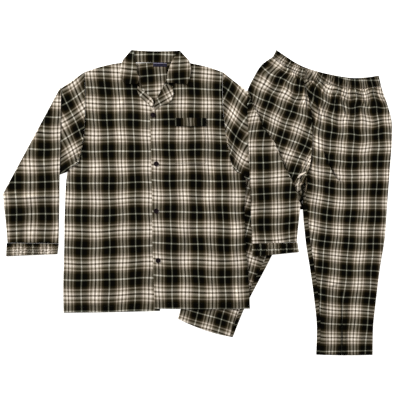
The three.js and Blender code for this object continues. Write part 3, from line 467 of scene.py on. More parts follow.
# Trouser fronts. The same flannel, gathered by the elastic along the top, so that folds of uneven
# length run down from the waistband. The left thigh is tucked over itself and its shin is pressed.
TROUSER_CREASES = [
    # X and Y of the middle, turn in degrees from +X, length, width, height, bend, and the share of
    # that width which the side to the right of the direction of the turn has
    (407, 146, 108, 20, 15, 7, 0, 0.12), (426, 104, 116, 32, 20, 10.5, -0.1, 0.08),
    (447, 71, 148, 16, 13, 5.5, 0, 0.15), (352, 86, 60, 26, 9, 4.6, 0, 0.4),
    (457.5, -405, 90, 100, 6, 5.0, 0, 0.35), (470, -405, -90, 100, 7, 5.2, 0, 0.3),
    (392, 330, -82, 46, 9, 3.4, 0, 0.35), (381, 262, -86, 52, 8, 3.2, 0, 0.4),
    (452, 318, -84, 40, 8, 2.6, 0, 0.5), (500, 300, -94, 52, 10, 2.8, 0, 0.4),
    (553, 292, -72, 46, 12, 3.2, 0, 0.4), (436, 246, -84, 60, 12, 2.4, 0, 0.7),
    (396, 190, -88, 50, 9, 2.8, 0, 0.4), (478, 205, -96, 60, 14, 2, 0, 0.6),
    (570, 214, -78, 64, 15, 2.6, 0, 0.5), (532, 120, -84, 90, 20, 2, 0, 0.7),
    (384, 60, -80, 60, 9, 2.4, 0, 0.5), (412, -20, -76, 70, 14, 2.2, 0, 0.6),
    (540, -60, -96, 90, 20, 2.2, 0, 0.7), (462, -110, 97, 70, 16, 2.4, 0, 0.6),
    (404, -150, -70, 60, 12, 2.4, 0, 0.5), (510, -215, -82, 80, 18, 2.4, 0, 0.6),
    (432, -262, 24, 40, 9, 2.2, 0, 0.5), (548, -300, 100, 80, 16, 2.2, 0, 0.7),
    (402, -330, 82, 60, 11, 2.2, 0, 0.6), (526, -420, 88, 60, 13, 2, 0, 0.8),
    (262, 408, -62, 44, 9, 3, 0, 0.4), (232, 372, -66, 50, 12, 2.6, 0, 0.5),
    (317, 386, 104, 24, 10, 7, 0, 0.2), (342, 350, 96, 50, 8, 6.5, 0, 0.3),
    (296, 320, -62, 56, 11, 2.6, 0, 0.5), (252, 290, -58, 60, 13, 2.4, 0, 0.6),
    (304, 236, -60, 54, 11, 2.4, 0, 0.5), (346, 226, -76, 50, 8, 2.6, 0, 0.4),
    (328, 150, -70, 44, 8, 3, 0, 0.35), (296, 160, -52, 40, 9, 2.4, 0, 0.5),
    (338, 108, -96, 26, 6, 3.6, 0, 0.4)]
PRESS_LINE_X = 463
# Gathers, unevenly spaced: share of the panel's width, height, half width and reach down the leg.
GATHERS_RIGHT = np.array([
    (0.05, 2.0, 5, 40), (0.13, 2.8, 5, 75), (0.20, 1.8, 4, 30), (0.29, 3.0, 6, 95), (0.37, 2.2, 4, 45),
    (0.44, 1.6, 4, 28), (0.52, 3.2, 5, 70), (0.60, 2.2, 4, 38), (0.68, 2.6, 5, 110), (0.75, 1.8, 4, 30),
    (0.83, 3.0, 4, 55), (0.91, 2.4, 4, 80)])
GATHERS_LEFT = np.array([
    (0.03, 1.8, 4, 35), (0.07, 2.6, 4, 70), (0.11, 1.6, 4, 26), (0.155, 3.0, 5, 100), (0.19, 1.8, 3.5, 32),
    (0.225, 2.4, 4, 55), (0.265, 1.6, 3.5, 25), (0.30, 2.8, 4, 85), (0.335, 2.0, 3.5, 40),
    (0.375, 3.0, 5, 120), (0.41, 1.6, 3.5, 28), (0.445, 2.4, 4, 60), (0.485, 1.8, 4, 34),
    (0.52, 3.0, 4, 90), (0.555, 2.0, 3.5, 36), (0.60, 2.8, 5, 130), (0.635, 1.6, 3.5, 25),
    (0.67, 2.4, 4, 58), (0.705, 3.0, 4, 105), (0.74, 1.8, 3.5, 30), (0.78, 2.6, 4, 75),
    (0.82, 2.0, 4, 44), (0.86, 3.2, 4, 120), (0.90, 2.2, 3.5, 50), (0.945, 3.0, 4, 90)])


def creases(rows, x, y):
    """Height and sideways push of creases. Each is its height times a bell along it and a bell
    across it, which is narrower on the right of its direction, and it curves by its bend times the
    distance along squared. The push leans its crest over its steep side by that height."""
    height, push_x, push_y = 0 * x, 0 * x, 0 * x
    for middle_x, middle_y, turn, length, width, tall, bend, steep in rows:
        cosine, sine = math.cos(math.radians(turn)), math.sin(math.radians(turn))
        along = (x - middle_x) * cosine + (y - middle_y) * sine
        aside = (y - middle_y) * cosine - (x - middle_x) * sine - bend * along**2 / length
        aside = aside / np.where(aside > 0, width, width * steep)
        one = tall * np.exp(-((along / length) ** 2) - aside**2)
        lean = one * max(0, 0.45 - steep) * 0.5
        height, push_x, push_y = height + one, push_x + lean * sine, push_y - lean * cosine
    return height, push_x, push_y


def leg_front(side, leg, side_place, gathers, columns):
    """A front: its gathers are bells across, fading down the leg as a bell, and the check follows
    the length of the cloth over them. At the seam the right one's edge stands over the left one,
    which rolls up as a bell 14 mm away from it. Both ridges are left out where the jacket lies on
    the leg."""
    place = even_places(leg, 3.9)
    share = np.linspace(0, 1, columns)[None]
    roll = read_table(leg, place[:, 0])[:, 5:6] * smoothstep(CROTCH_ROW, CROTCH_ROW + 0.5, place)
    width = panel_width(leg, place)
    trim = SEAM_GAP / 2 + np.where(roll > 0, np.maximum(4.5, roll) + SEAM_GAP, 0)
    x, y = leg_point(leg, side_place, place, share * (1 - trim / width))
    top_x, top_y = x[:1], y[:1]
    down = np.hypot(x - top_x, y - top_y)
    rise = 0 * x
    for middle, tall, half, reach in gathers:
        sway = 5 * np.sin(19 * middle + down / 45) * (1 - np.exp(-down / 40))
        across = (share - middle) * width[:1] + sway
        rise = rise + tall * np.exp(-((across / half) ** 2) - (np.maximum(down - 8, 0) / reach) ** 2)
    rise = 1.7 * rise * np.interp(down, [0, 8], [0.3, 1])
    fold, push_x, push_y = creases(TROUSER_CREASES, x, y)
    outer = read_table(leg, place[:, 0])
    calm = smoothstep(0, 30, np.hypot(x - outer[:, 0:1], y - outer[:, 1:2]))
    calm = calm * smoothstep(0, 12, down)
    if side == "left":
        calm = calm * smoothstep(0, 10, np.hypot(x - x[:, -1:], y - y[:, -1:]))
        lip = 2.6 * bell(width * (1 - share) - 14, 7) * smoothstep(10, 60, down)
    else:
        lip = (3.4 + 2.8 * smoothstep(250, 150, y)) * bell(width * (1 - share), 11)
        lip = lip * smoothstep(10, 60, down) * smoothstep(30, 90, y)
    z = CLOTH + LAYER_GAP + rise + fold * calm + lip
    step_x, step_y = np.diff(x, axis=1), np.diff(y, axis=1)
    flat = np.hypot(step_x, step_y)
    spare = np.cumsum(np.hypot(flat, np.diff(z, axis=1)) - flat, axis=1)
    spare = np.concatenate([0 * spare[:, :1], spare], 1)
    spare = spare - spare[:, -1:] * share
    # The gathered cloth isn't straight: its stripes wander by up to 5 mm, less and less down the leg.
    pulled = bell(down, 150)
    wander_x = pulled * (2.4 * np.sin(y / 11 + x / 29) + 2.2 * np.sin(y / 23 - x / 17 + 2))
    wander_y = pulled * (2.4 * np.sin(x / 9 + y / 31) + 2.6 * np.sin(x / 16 - y / 27 + 1))
    tangent = np.stack([np.gradient(x, axis=1), np.gradient(y, axis=1)])
    tangent = tangent / np.hypot(*tangent)
    check = leg_check(side, x + spare * tangent[0] + wander_x, y + spare * tangent[1] + wander_y)
    if side == "left":
        # The press line hides the thin stripe.
        near = bell(x - PRESS_LINE_X, 9) * smoothstep(-250, -320, y)
        check[..., 0] += 0.05 * np.tanh((x - PRESS_LINE_X) / 1.2) * near
    return cloth_shell(x + push_x * calm, y + push_y * calm, z + CLOTH / 2, CLOTH, check)


def twist_shell(path, width, base, tall, check):
    """A bunched strip: half a sine across, crumpled by two sines along, over a path of X and Y."""
    t = np.linspace(0, len(path) - 1, 60)
    line = read_table(np.array(path, float), t)
    step = np.gradient(line, axis=0)
    step /= length_of(step)
    share = np.linspace(-1, 1, 15)[None]
    run = np.linspace(0, 1, 60)[:, None]
    half = width / 2 * (0.75 + 0.25 * np.sin(21 * run + 2 * share)) * (0.35 + 0.65 * np.sin(math.pi * run))
    x = line[:, 0:1] - step[:, 1:2] * half * share
    y = line[:, 1:2] + step[:, 0:1] * half * share
    crumpled = 0.7 + 0.3 * np.sin(27 * run + 4 * share)
    z = base + tall * np.cos(share * math.pi / 2) * crumpled * np.sin(math.pi * run) ** 0.5
    count = np.stack([check[0] + 0.06 * np.sin(14 * run + 3 * share),
                      check[1] + 0.03 * share + 0 * run], -1)
    return cloth_shell(x, y, z + CLOTH / 2, CLOTH, count)


# The seam's end bunches up at the crotch, with its pale side out; the fourth strip is cut from the dark
# ground and lies down the slit between the legs as painted shade. Each strip has its path of X and Y, its
# width, the height that it starts from, how far it rises, and its place in the check.
FORK_TWISTS = [
    ([(353, 108), (345, 95), (335, 90), (322, 80)], 12, 4.8, 5, (0.06, 0.07)),
    ([(350, 146), (353, 124), (351, 104), (346, 92)], 4, 5.6, 3, (0.14, 0.2)),
    ([(328, 76), (324, 62), (322, 48), (320, 30)], 6, 3.8, 3, (0.12, 0.1)),
    ([(333, 86), (335, 66), (337, 44), (338, 18), (339, -8)], 9, 4.0, 2.4, (0.42, 0.42)),
    ([(350, 92), (349, 74), (350, 54), (348, 34)], 5, 4.2, 2.6, (0.2, 0.14))]
for side, leg, side_place, gathers, columns in [
    ("right", LEG_RIGHT, 0, GATHERS_RIGHT, 130), ("left", LEG_LEFT, 6, GATHERS_LEFT, 170)]:
    shells = [leg_front(side, leg, side_place, gathers, columns)]
    if side == "right":
        shells += [twist_shell(*twist) for twist in FORK_TWISTS]
    piece = add_piece(f"trouser_front_{side}_flannel", shells, flannel,
                      [f"trouser_front_{side}"])


# Waistband. A casing of flannel sewn round a 25 mm elastic, pulled into ribs, lying flat on itself.
WAISTBAND_RIBS = 41
RIB_HEIGHT = 2.6
WAISTBAND_PINCHES = (0.335, 0.352, 0.371, 0.39, 0.47, 0.62, 0.81)


def flat_tube(start_to_end, thickness, air, turn_steps=5):
    """The ring of a flattened tube: the low layer from start to end, a half circle, the top layer
    back, and a half circle. Gives X, Y, height above the tube's underside, and the share along."""
    x, y = start_to_end
    outer = thickness + air / 2
    mid = outer - thickness / 2
    share = np.linspace(0, 1, x.shape[1])
    first = np.hypot(x[:, -1] - x[:, 0], y[:, -1] - y[:, 0])[:, None]
    keep = outer / first
    flat_share = keep + (1 - 2 * keep) * share[None]
    pick = lambda line, s: np.stack([np.interp(s[i], share, line[i]) for i in range(len(line))])
    low_x, low_y = pick(x, flat_share), pick(y, flat_share)
    turn = np.linspace(0, math.pi, turn_steps + 2)[1:-1]
    rows = len(x)
    ends = []
    for here, tip in [(-1, -1), (0, 0)]:
        reach = mid / outer * np.sin(turn)[None]
        ends.append((low_x[:, here:][:, :1] * (1 - reach) + x[:, tip:][:, :1] * reach,
                     low_y[:, here:][:, :1] * (1 - reach) + y[:, tip:][:, :1] * reach))
    swing = outer - mid * np.cos(turn)
    ring_x = np.concatenate([low_x, ends[0][0], low_x[:, ::-1], ends[1][0][:, ::-1]], 1)
    ring_y = np.concatenate([low_y, ends[0][1], low_y[:, ::-1], ends[1][1][:, ::-1]], 1)
    flat = np.full(x.shape[1], thickness / 2)
    height = np.concatenate([flat, swing, flat + thickness + air, swing[::-1]])
    along = np.concatenate([share, np.ones(turn_steps), share[::-1], np.zeros(turn_steps)])
    return ring_x, ring_y, np.broadcast_to(height, (rows, len(height))), along[None]


def waistband_shell():
    """The band: a flat tube whose top layer is ribbed by a sine of the distance along it, drawn
    down by bells along its seam and its fold and across it where it is pinched, and raised by a
    bell along its middle."""
    height = np.linspace(0, 1, 19)[:, None]
    share = np.linspace(0, 1, 8 * WAISTBAND_RIBS + 1)
    row = read_table(WAISTBAND, share * 6)
    x = row[None, :, 2] + (row[None, :, 0] - row[None, :, 2]) * height
    y = row[None, :, 3] + (row[None, :, 1] - row[None, :, 3]) * height
    x, y, z, along = flat_tube((x, y), CLOTH, RIB_HEIGHT + LAYER_GAP)
    uneven = 0.3 * np.sin(11 * along) + 0.15 * np.sin(31 * along)
    phase = 2 * math.pi * (WAISTBAND_RIBS * along + uneven)
    top = smoothstep(CLOTH * 2, CLOTH * 2 + 1, z)
    ends = smoothstep(0, 0.02, along) * smoothstep(0, 0.02, 1 - along)
    depth = 0.5 + 0.28 * np.sin(37 * along) * np.sin(83 * along)
    z = z - top * ends * RIB_HEIGHT * 0.5 * depth * (1 - np.cos(phase))
    bells = 1.4 * bell(height, 0.12) + 1.6 * bell(1 - height, 0.13)
    pinched = sum(1.6 * bell(along - pinch, 0.007) for pinch in WAISTBAND_PINCHES)
    z = z - top * ends * (bells + pinched - 0.5 * bell(height - 0.5, 0.06))
    z = np.where(top > 0.99, np.maximum(z, 2 * CLOTH + LAYER_GAP), z)
    wave = 0.8 * np.sin(phase)
    side = smoothstep(345, 352, x)[..., None]
    check = leg_check("right", x + wave, y) * (1 - side) + leg_check("left", x + wave, y) * side
    # The casing is pleated by the centre seam, where its pale stripes are hidden.
    check[..., 1] += 0.28 * bell(x - 366, 13)
    points, faces, checks = cloth_shell(x, y, z, CLOTH, check, ring=True)
    # Its outside is drawn darker than the legs' by the painted fold shade, as if it stood 0.5 mm lower.
    checks[:, 2] -= 0.5
    return points, faces, checks


piece = add_piece("waistband_flannel", [waistband_shell()], flannel, ["waistband"])


# Jacket back. One panel of flannel from neck to hem, lying on the floor and over the right leg of
# the trousers. Only its neck and a strip of its hem show.
TROUSER_LIFT, LIFT_BRIDGE, LIFT_RAMP = 5, 12, 44
# A row for each level from the hem to the shoulder: side seam or armhole X and Y, front edge or
# roll line X and Y, and how far the row bows up.
FRONT_RIGHT = np.array([
    (-428, -353, -119, -347, -1), (-429, -260, -106, -241, 0), (-426, -145, -109, -120, 0),
    (-424, -24, -112, 8, 0), (-415, 98, -114, 117, 0), (-382, 129, -116, 168, 0),
    (-367, 191, -118, 226, 0), (-360, 255, -123, 277, 0), (-358, 312, -137, 316, 0),
    (-358, 354, -156, 343, 0), (-359, 386, -184, 386, 3), (-360, 418, -205, 451, 7)])
FRONT_LEFT = np.array([
    (169, -339, -136, -340, -0.6), (165, -248, -139, -248, 0), (156, -136, -143, -126, 0),
    (152, -17, -144, -8, 0), (154, 79, -146, 98, 0), (118, 108, -147, 156, 0), (99, 178, -148, 213, 0),
    (88, 252, -150, 268, 0), (82, 312, -141, 300, 0), (81, 354, -127, 333, 0), (81, 386, -103, 384, 3),
    (81, 418, -72, 451, 7)])
UNDERLAP = 64
COURSE_BACK = {
    "middle": (-140, 400),
    "warp": (0.732, 1.2, 0.052),
    "weft": (0.576, 0.098, -1.009)}


def lift_at(x, y):
    """How far the right leg lifts the jacket: its full lift inside the leg's outline and 12 mm
    past it, then down to nothing over 44 mm."""
    outline = np.concatenate([LEG_RIGHT[:, 0:2], LEG_RIGHT[::-1, 2:4]])
    inside, nearest = np.zeros(np.shape(x), bool), np.full(np.shape(x), 1e6)
    for (ax, ay), (bx, by) in zip(outline, np.roll(outline, -1, 0)):
        side_x, side_y = bx - ax, by - ay
        t = ((x - ax) * side_x + (y - ay) * side_y) / (side_x**2 + side_y**2)
        t = np.clip(t, 0, 1)
        nearest = np.minimum(nearest, np.hypot(x - ax - t * side_x, y - ay - t * side_y))
        if ay != by:
            inside ^= ((ay > y) != (by > y)) & (x < ax + (y - ay) / (by - ay) * (bx - ax))
    ramp = 1 - smoothstep(0, LIFT_RAMP, nearest - LIFT_BRIDGE)
    return np.where(inside, TROUSER_LIFT, TROUSER_LIFT * ramp)


def back_shell():
    """The back: each row runs from the right side seam over to the left one, through the place
    where the right front's shared columns end."""
    place = even_places(FRONT_RIGHT, 8)
    share = np.linspace(0, 1, 60)[None]
    right, left = read_table(FRONT_RIGHT, place[:, 0]), read_table(FRONT_LEFT, place[:, 0])
    keep = 1 - UNDERLAP / panel_width(FRONT_RIGHT, place)
    right_x, right_y = panel_point(FRONT_RIGHT, place, keep * share)
    left_x, left_y = panel_point(FRONT_LEFT, place, 1 - share)
    middle = np.linspace(0, 1, 26)[None, 1:-1]
    middle_x = right_x[:, -1:] + (left_x[:, :1] - right_x[:, -1:]) * middle
    middle_y = right_y[:, -1:] + (left_y[:, :1] - right_y[:, -1:]) * middle
    x = np.concatenate([right_x, middle_x, left_x], 1)
    y = np.concatenate([right_y, middle_y, left_y], 1)
    return cloth_shell(x, y, lift_at(x, y) + CLOTH / 2, CLOTH, stripes(COURSE_BACK, x, y))


piece = add_piece("jacket_back_flannel", [back_shell()], flannel, ["shirt_back"])


# Jacket fronts. Two panels of flannel, the left one over the right one along the button line, with
# the turned-back edge of each front making its own facing.
JACKET_CREASES = [
    (-300, -210, 82, 170, 30, 2.2, 0, 0.7), (-350, 40, 70, 150, 30, 2.2, 0, 0.7),
    (-250, 210, 100, 130, 30, 1.8, 0, 0.7), (20, -200, 96, 170, 32, 2.2, 0, 0.8),
    (80, 20, 112, 150, 26, 2.4, 0, 0.6), (-20, 330, 75, 60, 20, 1.6, 0, 0.6),
    (64, 76, -36, 16, 8, 2.6, 0, 0.3), (-382, -150, 86, 90, 16, 1.8, 0, 0.5),
    (-190, -285, 78, 60, 16, 1.8, 0, 0.5), (-330, -320, 12, 60, 12, 1.6, 0, 0.6),
    (-215, 60, 96, 90, 20, 1.6, 0, 0.6), (-300, 350, -20, 50, 14, 1.6, 0, 0.6),
    (-236, 330, 64, 44, 12, 1.8, 0, 0.5), (40, 372, -28, 40, 12, 1.8, 0, 0.5),
    (-30, 60, 84, 80, 18, 1.6, 0, 0.6), (110, -180, 80, 80, 14, 2, 0, 0.5),
    (30, -300, 8, 70, 12, 1.6, 0, 0.6), (130, -290, 92, 50, 10, 2, 0, 0.4),
    (-62, -120, 98, 90, 18, 1.4, 0, 0.7), (60, 250, 104, 60, 14, 1.8, 0, 0.5)]
BUTTON_PLACES = [(-141, 280), (-131, 124), (-131, -27), (-125, -185)]
COURSE_FRONT_RIGHT = {
    "middle": (-270, 0),
    "warp": (0.628, 1.171, 0.015, 0.065, 0.009, 0.006, -0.0043, -0.0054,
             0.0005, 0.0001, -0.033, 0.0032, -0.0019, -0.0011, 0.0001),
    "weft": (0.11, 0.045, -0.975, 0.02, -0.012, -0.004, -0.0202, -0.0013,
             -0.0027, -0.0005, -0.0059, -0.0015, -0.001, 0.0004, 0.0002)}
COURSE_FRONT_LEFT = {
    "middle": (20, 0),
    "warp": (0.766, 1.202, 0.037, 0.009, 0.011, -0.001, 0.0047, -0.0011,
             -0.0015, -0.0007, 0.0019, -0.0024, -0.0007, -0.0004, 0),
    "weft": (0.193, -0.022, -0.99, -0.014, 0.004, -0.008, 0.0074, -0.0053,
             -0.0003, -0.0004, 0.01, -0.0007, -0.0012, -0.0007, 0.0002)}


def front_underside(x, y):
    """Underside of a front: the back's top, plus the creases, which die out at the buttons."""
    calm = smoothstep(34, 110, np.abs(x - BUTTON_PLACES[1][0]))
    return lift_at(x, y) + CLOTH + LAYER_GAP + creases(JACKET_CREASES, x, y)[0] * calm


def overlap_at(x, y):
    """How far the left front is raised by the right one under it: full for 42 mm from its edge,
    and nothing from 78 mm."""
    edge_y, edge_x = FRONT_LEFT[:, 3], FRONT_LEFT[:, 2]
    return (CLOTH + LAYER_GAP) * (1 - smoothstep(42, 78, x - np.interp(y, edge_y, edge_x)))


def front_shell(table, course, rise):
    """A front: an even grid between its side seam and its front edge."""
    place = even_places(table, 3.6)
    share = np.linspace(0, 1, 86)[None]
    x, y = panel_point(table, place, share)
    z = front_underside(x, y) + rise * overlap_at(x, y) + CLOTH / 2
    return cloth_shell(x, y, z, CLOTH, stripes(course, x, y))


for side, table, course, rise in [
    ("right", FRONT_RIGHT, COURSE_FRONT_RIGHT, 0), ("left", FRONT_LEFT, COURSE_FRONT_LEFT, 1)]:
    piece = add_piece(f"jacket_front_{side}_flannel", [front_shell(table, course, rise)], flannel,
                      [f"shirt_front_{side}"])


# Chest pocket. A patch of flannel cut to match the front's check, sewn on at its sides and foot,
# with a band across its mouth cut with the stripes upright.
# Edges of the pocket and of its band: X at the right and the left, Y at the foot and the mouth.
POCKET = (-71, 27, 126, 243.6)
POCKET_BAND = (-72, 28.5, 244, 271)
POCKET_CLOTH = 0.9
BAND_CLOTH = 2.2
COURSE_BAND = {"middle": (-20, 258), "warp": (0.071, 1.19, 0, 0.05, 0, 0), "weft": (0.38, 0, 0.2)}


def on_front(x, y):
    """Top of the left front, plus the air below what lies on it."""
    return front_underside(x, y) + overlap_at(x, y) + CLOTH + LAYER_GAP


def patch_plan(right, left, low, high, step):
    """An even grid over a rectangle, its rows from the lower edge up."""
    x = np.linspace(right, left, round((left - right) / step) + 1)[None]
    y = np.linspace(low, high, round((high - low) / step) + 1)[:, None]
    return np.broadcast_arrays(x, y)


x, y = patch_plan(*POCKET, 2)
inside = np.minimum(np.minimum(x - POCKET[0], POCKET[1] - x), y - POCKET[2])
pressed = 0.3 * bell(inside, 3)
piece = add_piece("pocket_flannel", [cloth_shell(
    x, y, on_front(x, y) + LAYER_GAP + 0.5 - pressed, POCKET_CLOTH, stripes(COURSE_FRONT_LEFT, x, y))],
    flannel, ["pocket"])
x, y = patch_plan(*POCKET_BAND, 2)
swell = 0.3 + 0.6 * np.sin(math.pi * np.clip((y - POCKET_BAND[2]) / (POCKET_BAND[3] - POCKET_BAND[2]), 0, 1))
piece = add_piece("pocket_band_flannel", [cloth_shell(
    x, y, on_front(x, y) + LAYER_GAP + swell + BAND_CLOTH / 2, BAND_CLOTH, stripes(COURSE_BAND, x, y))],
    flannel, ["pocket_band"])


# Collar. Two layers of flannel with an interlining between, folded on itself along its top at the
# back of the neck, with a leaf lying on each front.
COLLAR_CLOTH = 2.2
LEAF_RIGHT = np.array([
    (-191, 379, -232, 379), (-184.5, 399, -242, 397), (-192.5, 415, -246, 418), (-192.5, 436, -244, 440),
    (-199, 457, -236, 458), (-201, 476, -222, 475), (-200, 485, -211, 488)])
LEAF_LEFT = np.array([
    (-98, 384, -32, 378), (-98, 397, -24, 396), (-94, 415, -20, 418), (-87, 437, -21, 437),
    (-77, 459, -27, 455), (-67, 476, -42, 472), (-66, 485, -56, 487)])
ROLL_HEIGHT = 3.2
COURSE_LEAF_RIGHT = {
    "middle": (-215, 430),
    "warp": (0.421, 1.219, -0.116),
    "weft": (0.97, -0.114, -0.944)}
COURSE_LEAF_LEFT = {"middle": (-60, 430), "warp": (0.462, 1.2, 0), "weft": (0.156, 0.051, -0.989)}
COURSE_COLLAR_BACK = {"middle": (-137, 474), "warp": (0.534, 1.167, 0.019), "weft": (0.5, 0, -1)}


def turned_strip(table, underside, thickness, course):
    """A leaf or lapel: rows from its roll line to its outer edge, lifted at the roll by a parabola."""
    place = even_places(np.insert(table, 4, 0, axis=1), 2.5)
    share = np.linspace(0, 1, 22)[None]
    row = read_table(table, place[:, 0])
    x = row[:, 0:1] + (row[:, 2:3] - row[:, 0:1]) * share
    y = row[:, 1:2] + (row[:, 3:4] - row[:, 1:2]) * share
    z = underside(x, y) + ROLL_HEIGHT * (1 - share) ** 2 * (1 - 0.2 * bell(share, 0.06))
    return cloth_shell(x, y, z + thickness / 2, thickness, stripes(course, x, y))


def leaf_underside(x, y):
    """5.7 mm over the fronts, falling to 3.9 mm where a leaf runs into the back of the collar."""
    return 5.7 - 1.8 * smoothstep(455, 480, y)


def collar_back_shell():
    """The back of the collar: a flat run up from the neck seam, a half circle over the top fold and
    a flat run down behind, carried along the fold, which dips by a parabola."""
    t = np.linspace(0, 1, 60)[:, None]
    radius = (COLLAR_CLOTH + LAYER_GAP) / 2
    top_x = -211 + 155 * t
    top_y = 489 - 2 * t - 3 * (1 - (2 * t - 1) ** 2)
    low_x, low_y = -199 + 124 * t, 451.4 + 0 * t
    length = np.hypot(top_x - low_x, top_y - low_y)
    reach = length - radius - COLLAR_CLOTH / 2
    turn = np.linspace(0, math.pi, 9)[None]
    run = np.linspace(0, 1, 12)[None]
    along = np.concatenate([-3 + (reach + 3) * run[:, :-1], reach + radius * np.sin(turn),
                            reach * (1 - run[:, 1:])], 1)
    z = np.concatenate([np.full((60, 11), 2 * radius), radius * (1 + np.cos(turn)) * np.ones((60, 1)),
                        np.zeros((60, 11))], 1) + COLLAR_CLOTH / 2
    x = low_x + (top_x - low_x) * along / length
    y = low_y + (top_y - low_y) * along / length
    return cloth_shell(x, y, z, COLLAR_CLOTH, stripes(COURSE_COLLAR_BACK, x, y))


piece = add_piece("collar_flannel", [
    collar_back_shell(),
    turned_strip(LEAF_RIGHT, leaf_underside, COLLAR_CLOTH, COURSE_LEAF_RIGHT),
    turned_strip(LEAF_LEFT, leaf_underside, COLLAR_CLOTH, COURSE_LEAF_LEFT)],
    flannel, ["collar"])


# Lapels. The tops of the fronts turned back, lying on them below the collar's leaves.
LAPEL_RIGHT = np.array([
    (-139, 313, -144, 305), (-143, 330, -160, 318), (-156, 343, -179, 335), (-173, 356, -187, 346),
    (-189, 372, -193, 362)])
LAPEL_LEFT = np.array([
    (-139, 303, -135, 295), (-129, 331, -117, 310), (-117, 356, -91, 318), (-108, 371, -77, 340),
    (-101, 380, -78, 372)])
COURSE_LAPEL_RIGHT = {
    "middle": (-165, 335), "warp": (-0.036, 0.669, 0.797), "weft": (0.668, 0.766, -0.643)}
COURSE_LAPEL_LEFT = {
    "middle": (-100, 345), "warp": (-0.171, 1.03, 0.514), "weft": (-0.154, 0.55, -0.957)}
for side, table, base, course, flat in [
    ("right", LAPEL_RIGHT, PANEL_TOP + LAYER_GAP, COURSE_LAPEL_RIGHT, (0.023, 0.085)),
    ("left", LAPEL_LEFT, PANEL_TOP + CLOTH + 2 * LAYER_GAP, COURSE_LAPEL_LEFT, (0.042, 0.095))]:
    piece = add_piece(f"lapel_{side}_flannel", [
        turned_strip(table, lambda x, y: base + 0 * x, CLOTH, course)],
        flannel, [f"lapel_{side}"])


# Labels. A woven satin label sewn inside the back of the neck, and a small tab beside it, both
# plain.
label_satin, tree, out = new_material("woven_satin_label")
place = add_node(tree, "ShaderNodeTexCoord").outputs["Object"]
ribs = add_node(tree, "ShaderNodeTexWave", {"bands_direction": "Y"}, {
    "Vector": place, "Scale": 260.0, "Distortion": 0.4, "Detail": 1.0})
shade = add_node(tree, "ShaderNodeValToRGB", {"stops": [(0.2, "#100d1c"), (0.8, "#1c1730")]},
                 {"Fac": ribs.outputs["Fac"]})
# A plain woven line, 1.6 mm wide, runs along below the label's upper edge.
height = add_node(tree, "ShaderNodeSeparateXYZ", inputs={0: place}).outputs["Y"]
line = add_node(tree, "ShaderNodeMath", {"operation": "COMPARE"}, {0: height, 1: 0.4463, 2: 0.0008})
lined = add_node(tree, "ShaderNodeMix", {"data_type": "RGBA"}, {
    "Factor": line.outputs[0], 6: shade.outputs["Color"], 7: linear("#8f8ba0")})
raised = add_node(tree, "ShaderNodeBump", inputs={
    "Strength": 0.4, "Distance": 0.0002, "Height": ribs.outputs["Fac"]})
skin = add_node(tree, "ShaderNodeBsdfPrincipled", inputs={
    "Base Color": lined.outputs[2], "Roughness": 0.5, "Specular IOR Level": 0.2,
    "Normal": raised.outputs[0]})
tree.links.new(skin.outputs["BSDF"], out.inputs["Surface"])
LABEL_CLOTH = 1.0
for name, sides, flat in [
    ("neck_label", (-141, -108, 435.5, 448.5), (0.033, 0.013)),
    ("size_tab", (-107, -97, 434.5, 446.5), (0.010, 0.012))]:
    x, y = patch_plan(*sides, 1)
    z = CLOTH + SEAM_GAP + LABEL_CLOTH / 2 + 0.25 * np.sin((x - sides[0]) / 5.0) ** 2
    piece = add_piece(f"{name}_satin", [cloth_shell(x, y, z, LABEL_CLOTH, np.zeros(2))],
                      label_satin, [name])


# Sleeves. Set-in tubes of flannel, lying flat, with the forearm folded forward over the upper arm
# at the elbow.
FOLD_AIR = 0.9
FOREARM_PUFF = 2.4
# A sleeve has the X and Y of its elbow fold, the way that the fold faces, the two ends of its
# cuff's seam, how far its end stands up, and its creases.
SLEEVE_RIGHT = {
    "fold": np.array([(-439, 367), (-624, 24)]), "out": (-0.8802, 0.4746),
    "end_inner": (-444, -131), "end_outer": (-608, -129), "lip": 0, "creases": [
        (-520, 22, 4, 70, 9, 2.6, 0, 0.4), (-500, 150, -62, 60, 14, 2.4, 0, 0.5),
        (-560, -40, 80, 60, 14, 2, 0, 0.5), (-470, -70, 96, 50, 12, 2, 0, 0.5),
        (-505, 250, -58, 44, 10, 2, 0, 0.5), (-585, 30, 20, 26, 7, 2.4, 0, 0.4),
        (-530, -112, 88, 20, 6, 2, 0, 0.5), (-500, -116, 94, 18, 6, 1.8, 0, 0.5),
        (-572, -114, 84, 18, 7, 2, 0, 0.5)]}
SLEEVE_LEFT = {
    "fold": FOREARM_FOLD_LEFT,
    "out": (0.909, 0.417), "end_inner": (176, -131), "end_outer": (319, -127), "lip": 1.1,
    "creases": [
        (250, 6, -2, 50, 9, 2.4, 0, 0.4), (212, 120, -78, 60, 12, 2.2, 0, 0.5),
        (290, -60, 94, 50, 12, 2, 0, 0.5), (205, -50, 84, 50, 12, 2, 0, 0.5),
        (196, 210, -82, 40, 9, 2, 0, 0.5), (304, -112, 80, 20, 7, 1.8, 0, 0.5)]}
COURSE_UPPER_RIGHT = {
    "middle": (-450, 270),
    "warp": (-0.003, -0.508, -0.402, -1.051, -0.354, -0.044, 0.606, 0.3293, 0.0554, 0.0292),
    "weft": (-0.187, 0.273, -0.853, 0.441, -0.114, -0.035, -0.2177, 0.1194, 0.111, -0.0294)}
COURSE_UPPER_LEFT = {
    "middle": (150, 290),
    "warp": (0.364, 0.796, -0.515, -1.136, -0.011, 0.028, -1.1406, 0.1061, 0.0456, 0.0223),
    "weft": (-0.318, -0.68, -0.838, 0.409, -0.29, -0.037, 0.4004, -0.5362, -0.1331, -0.028)}
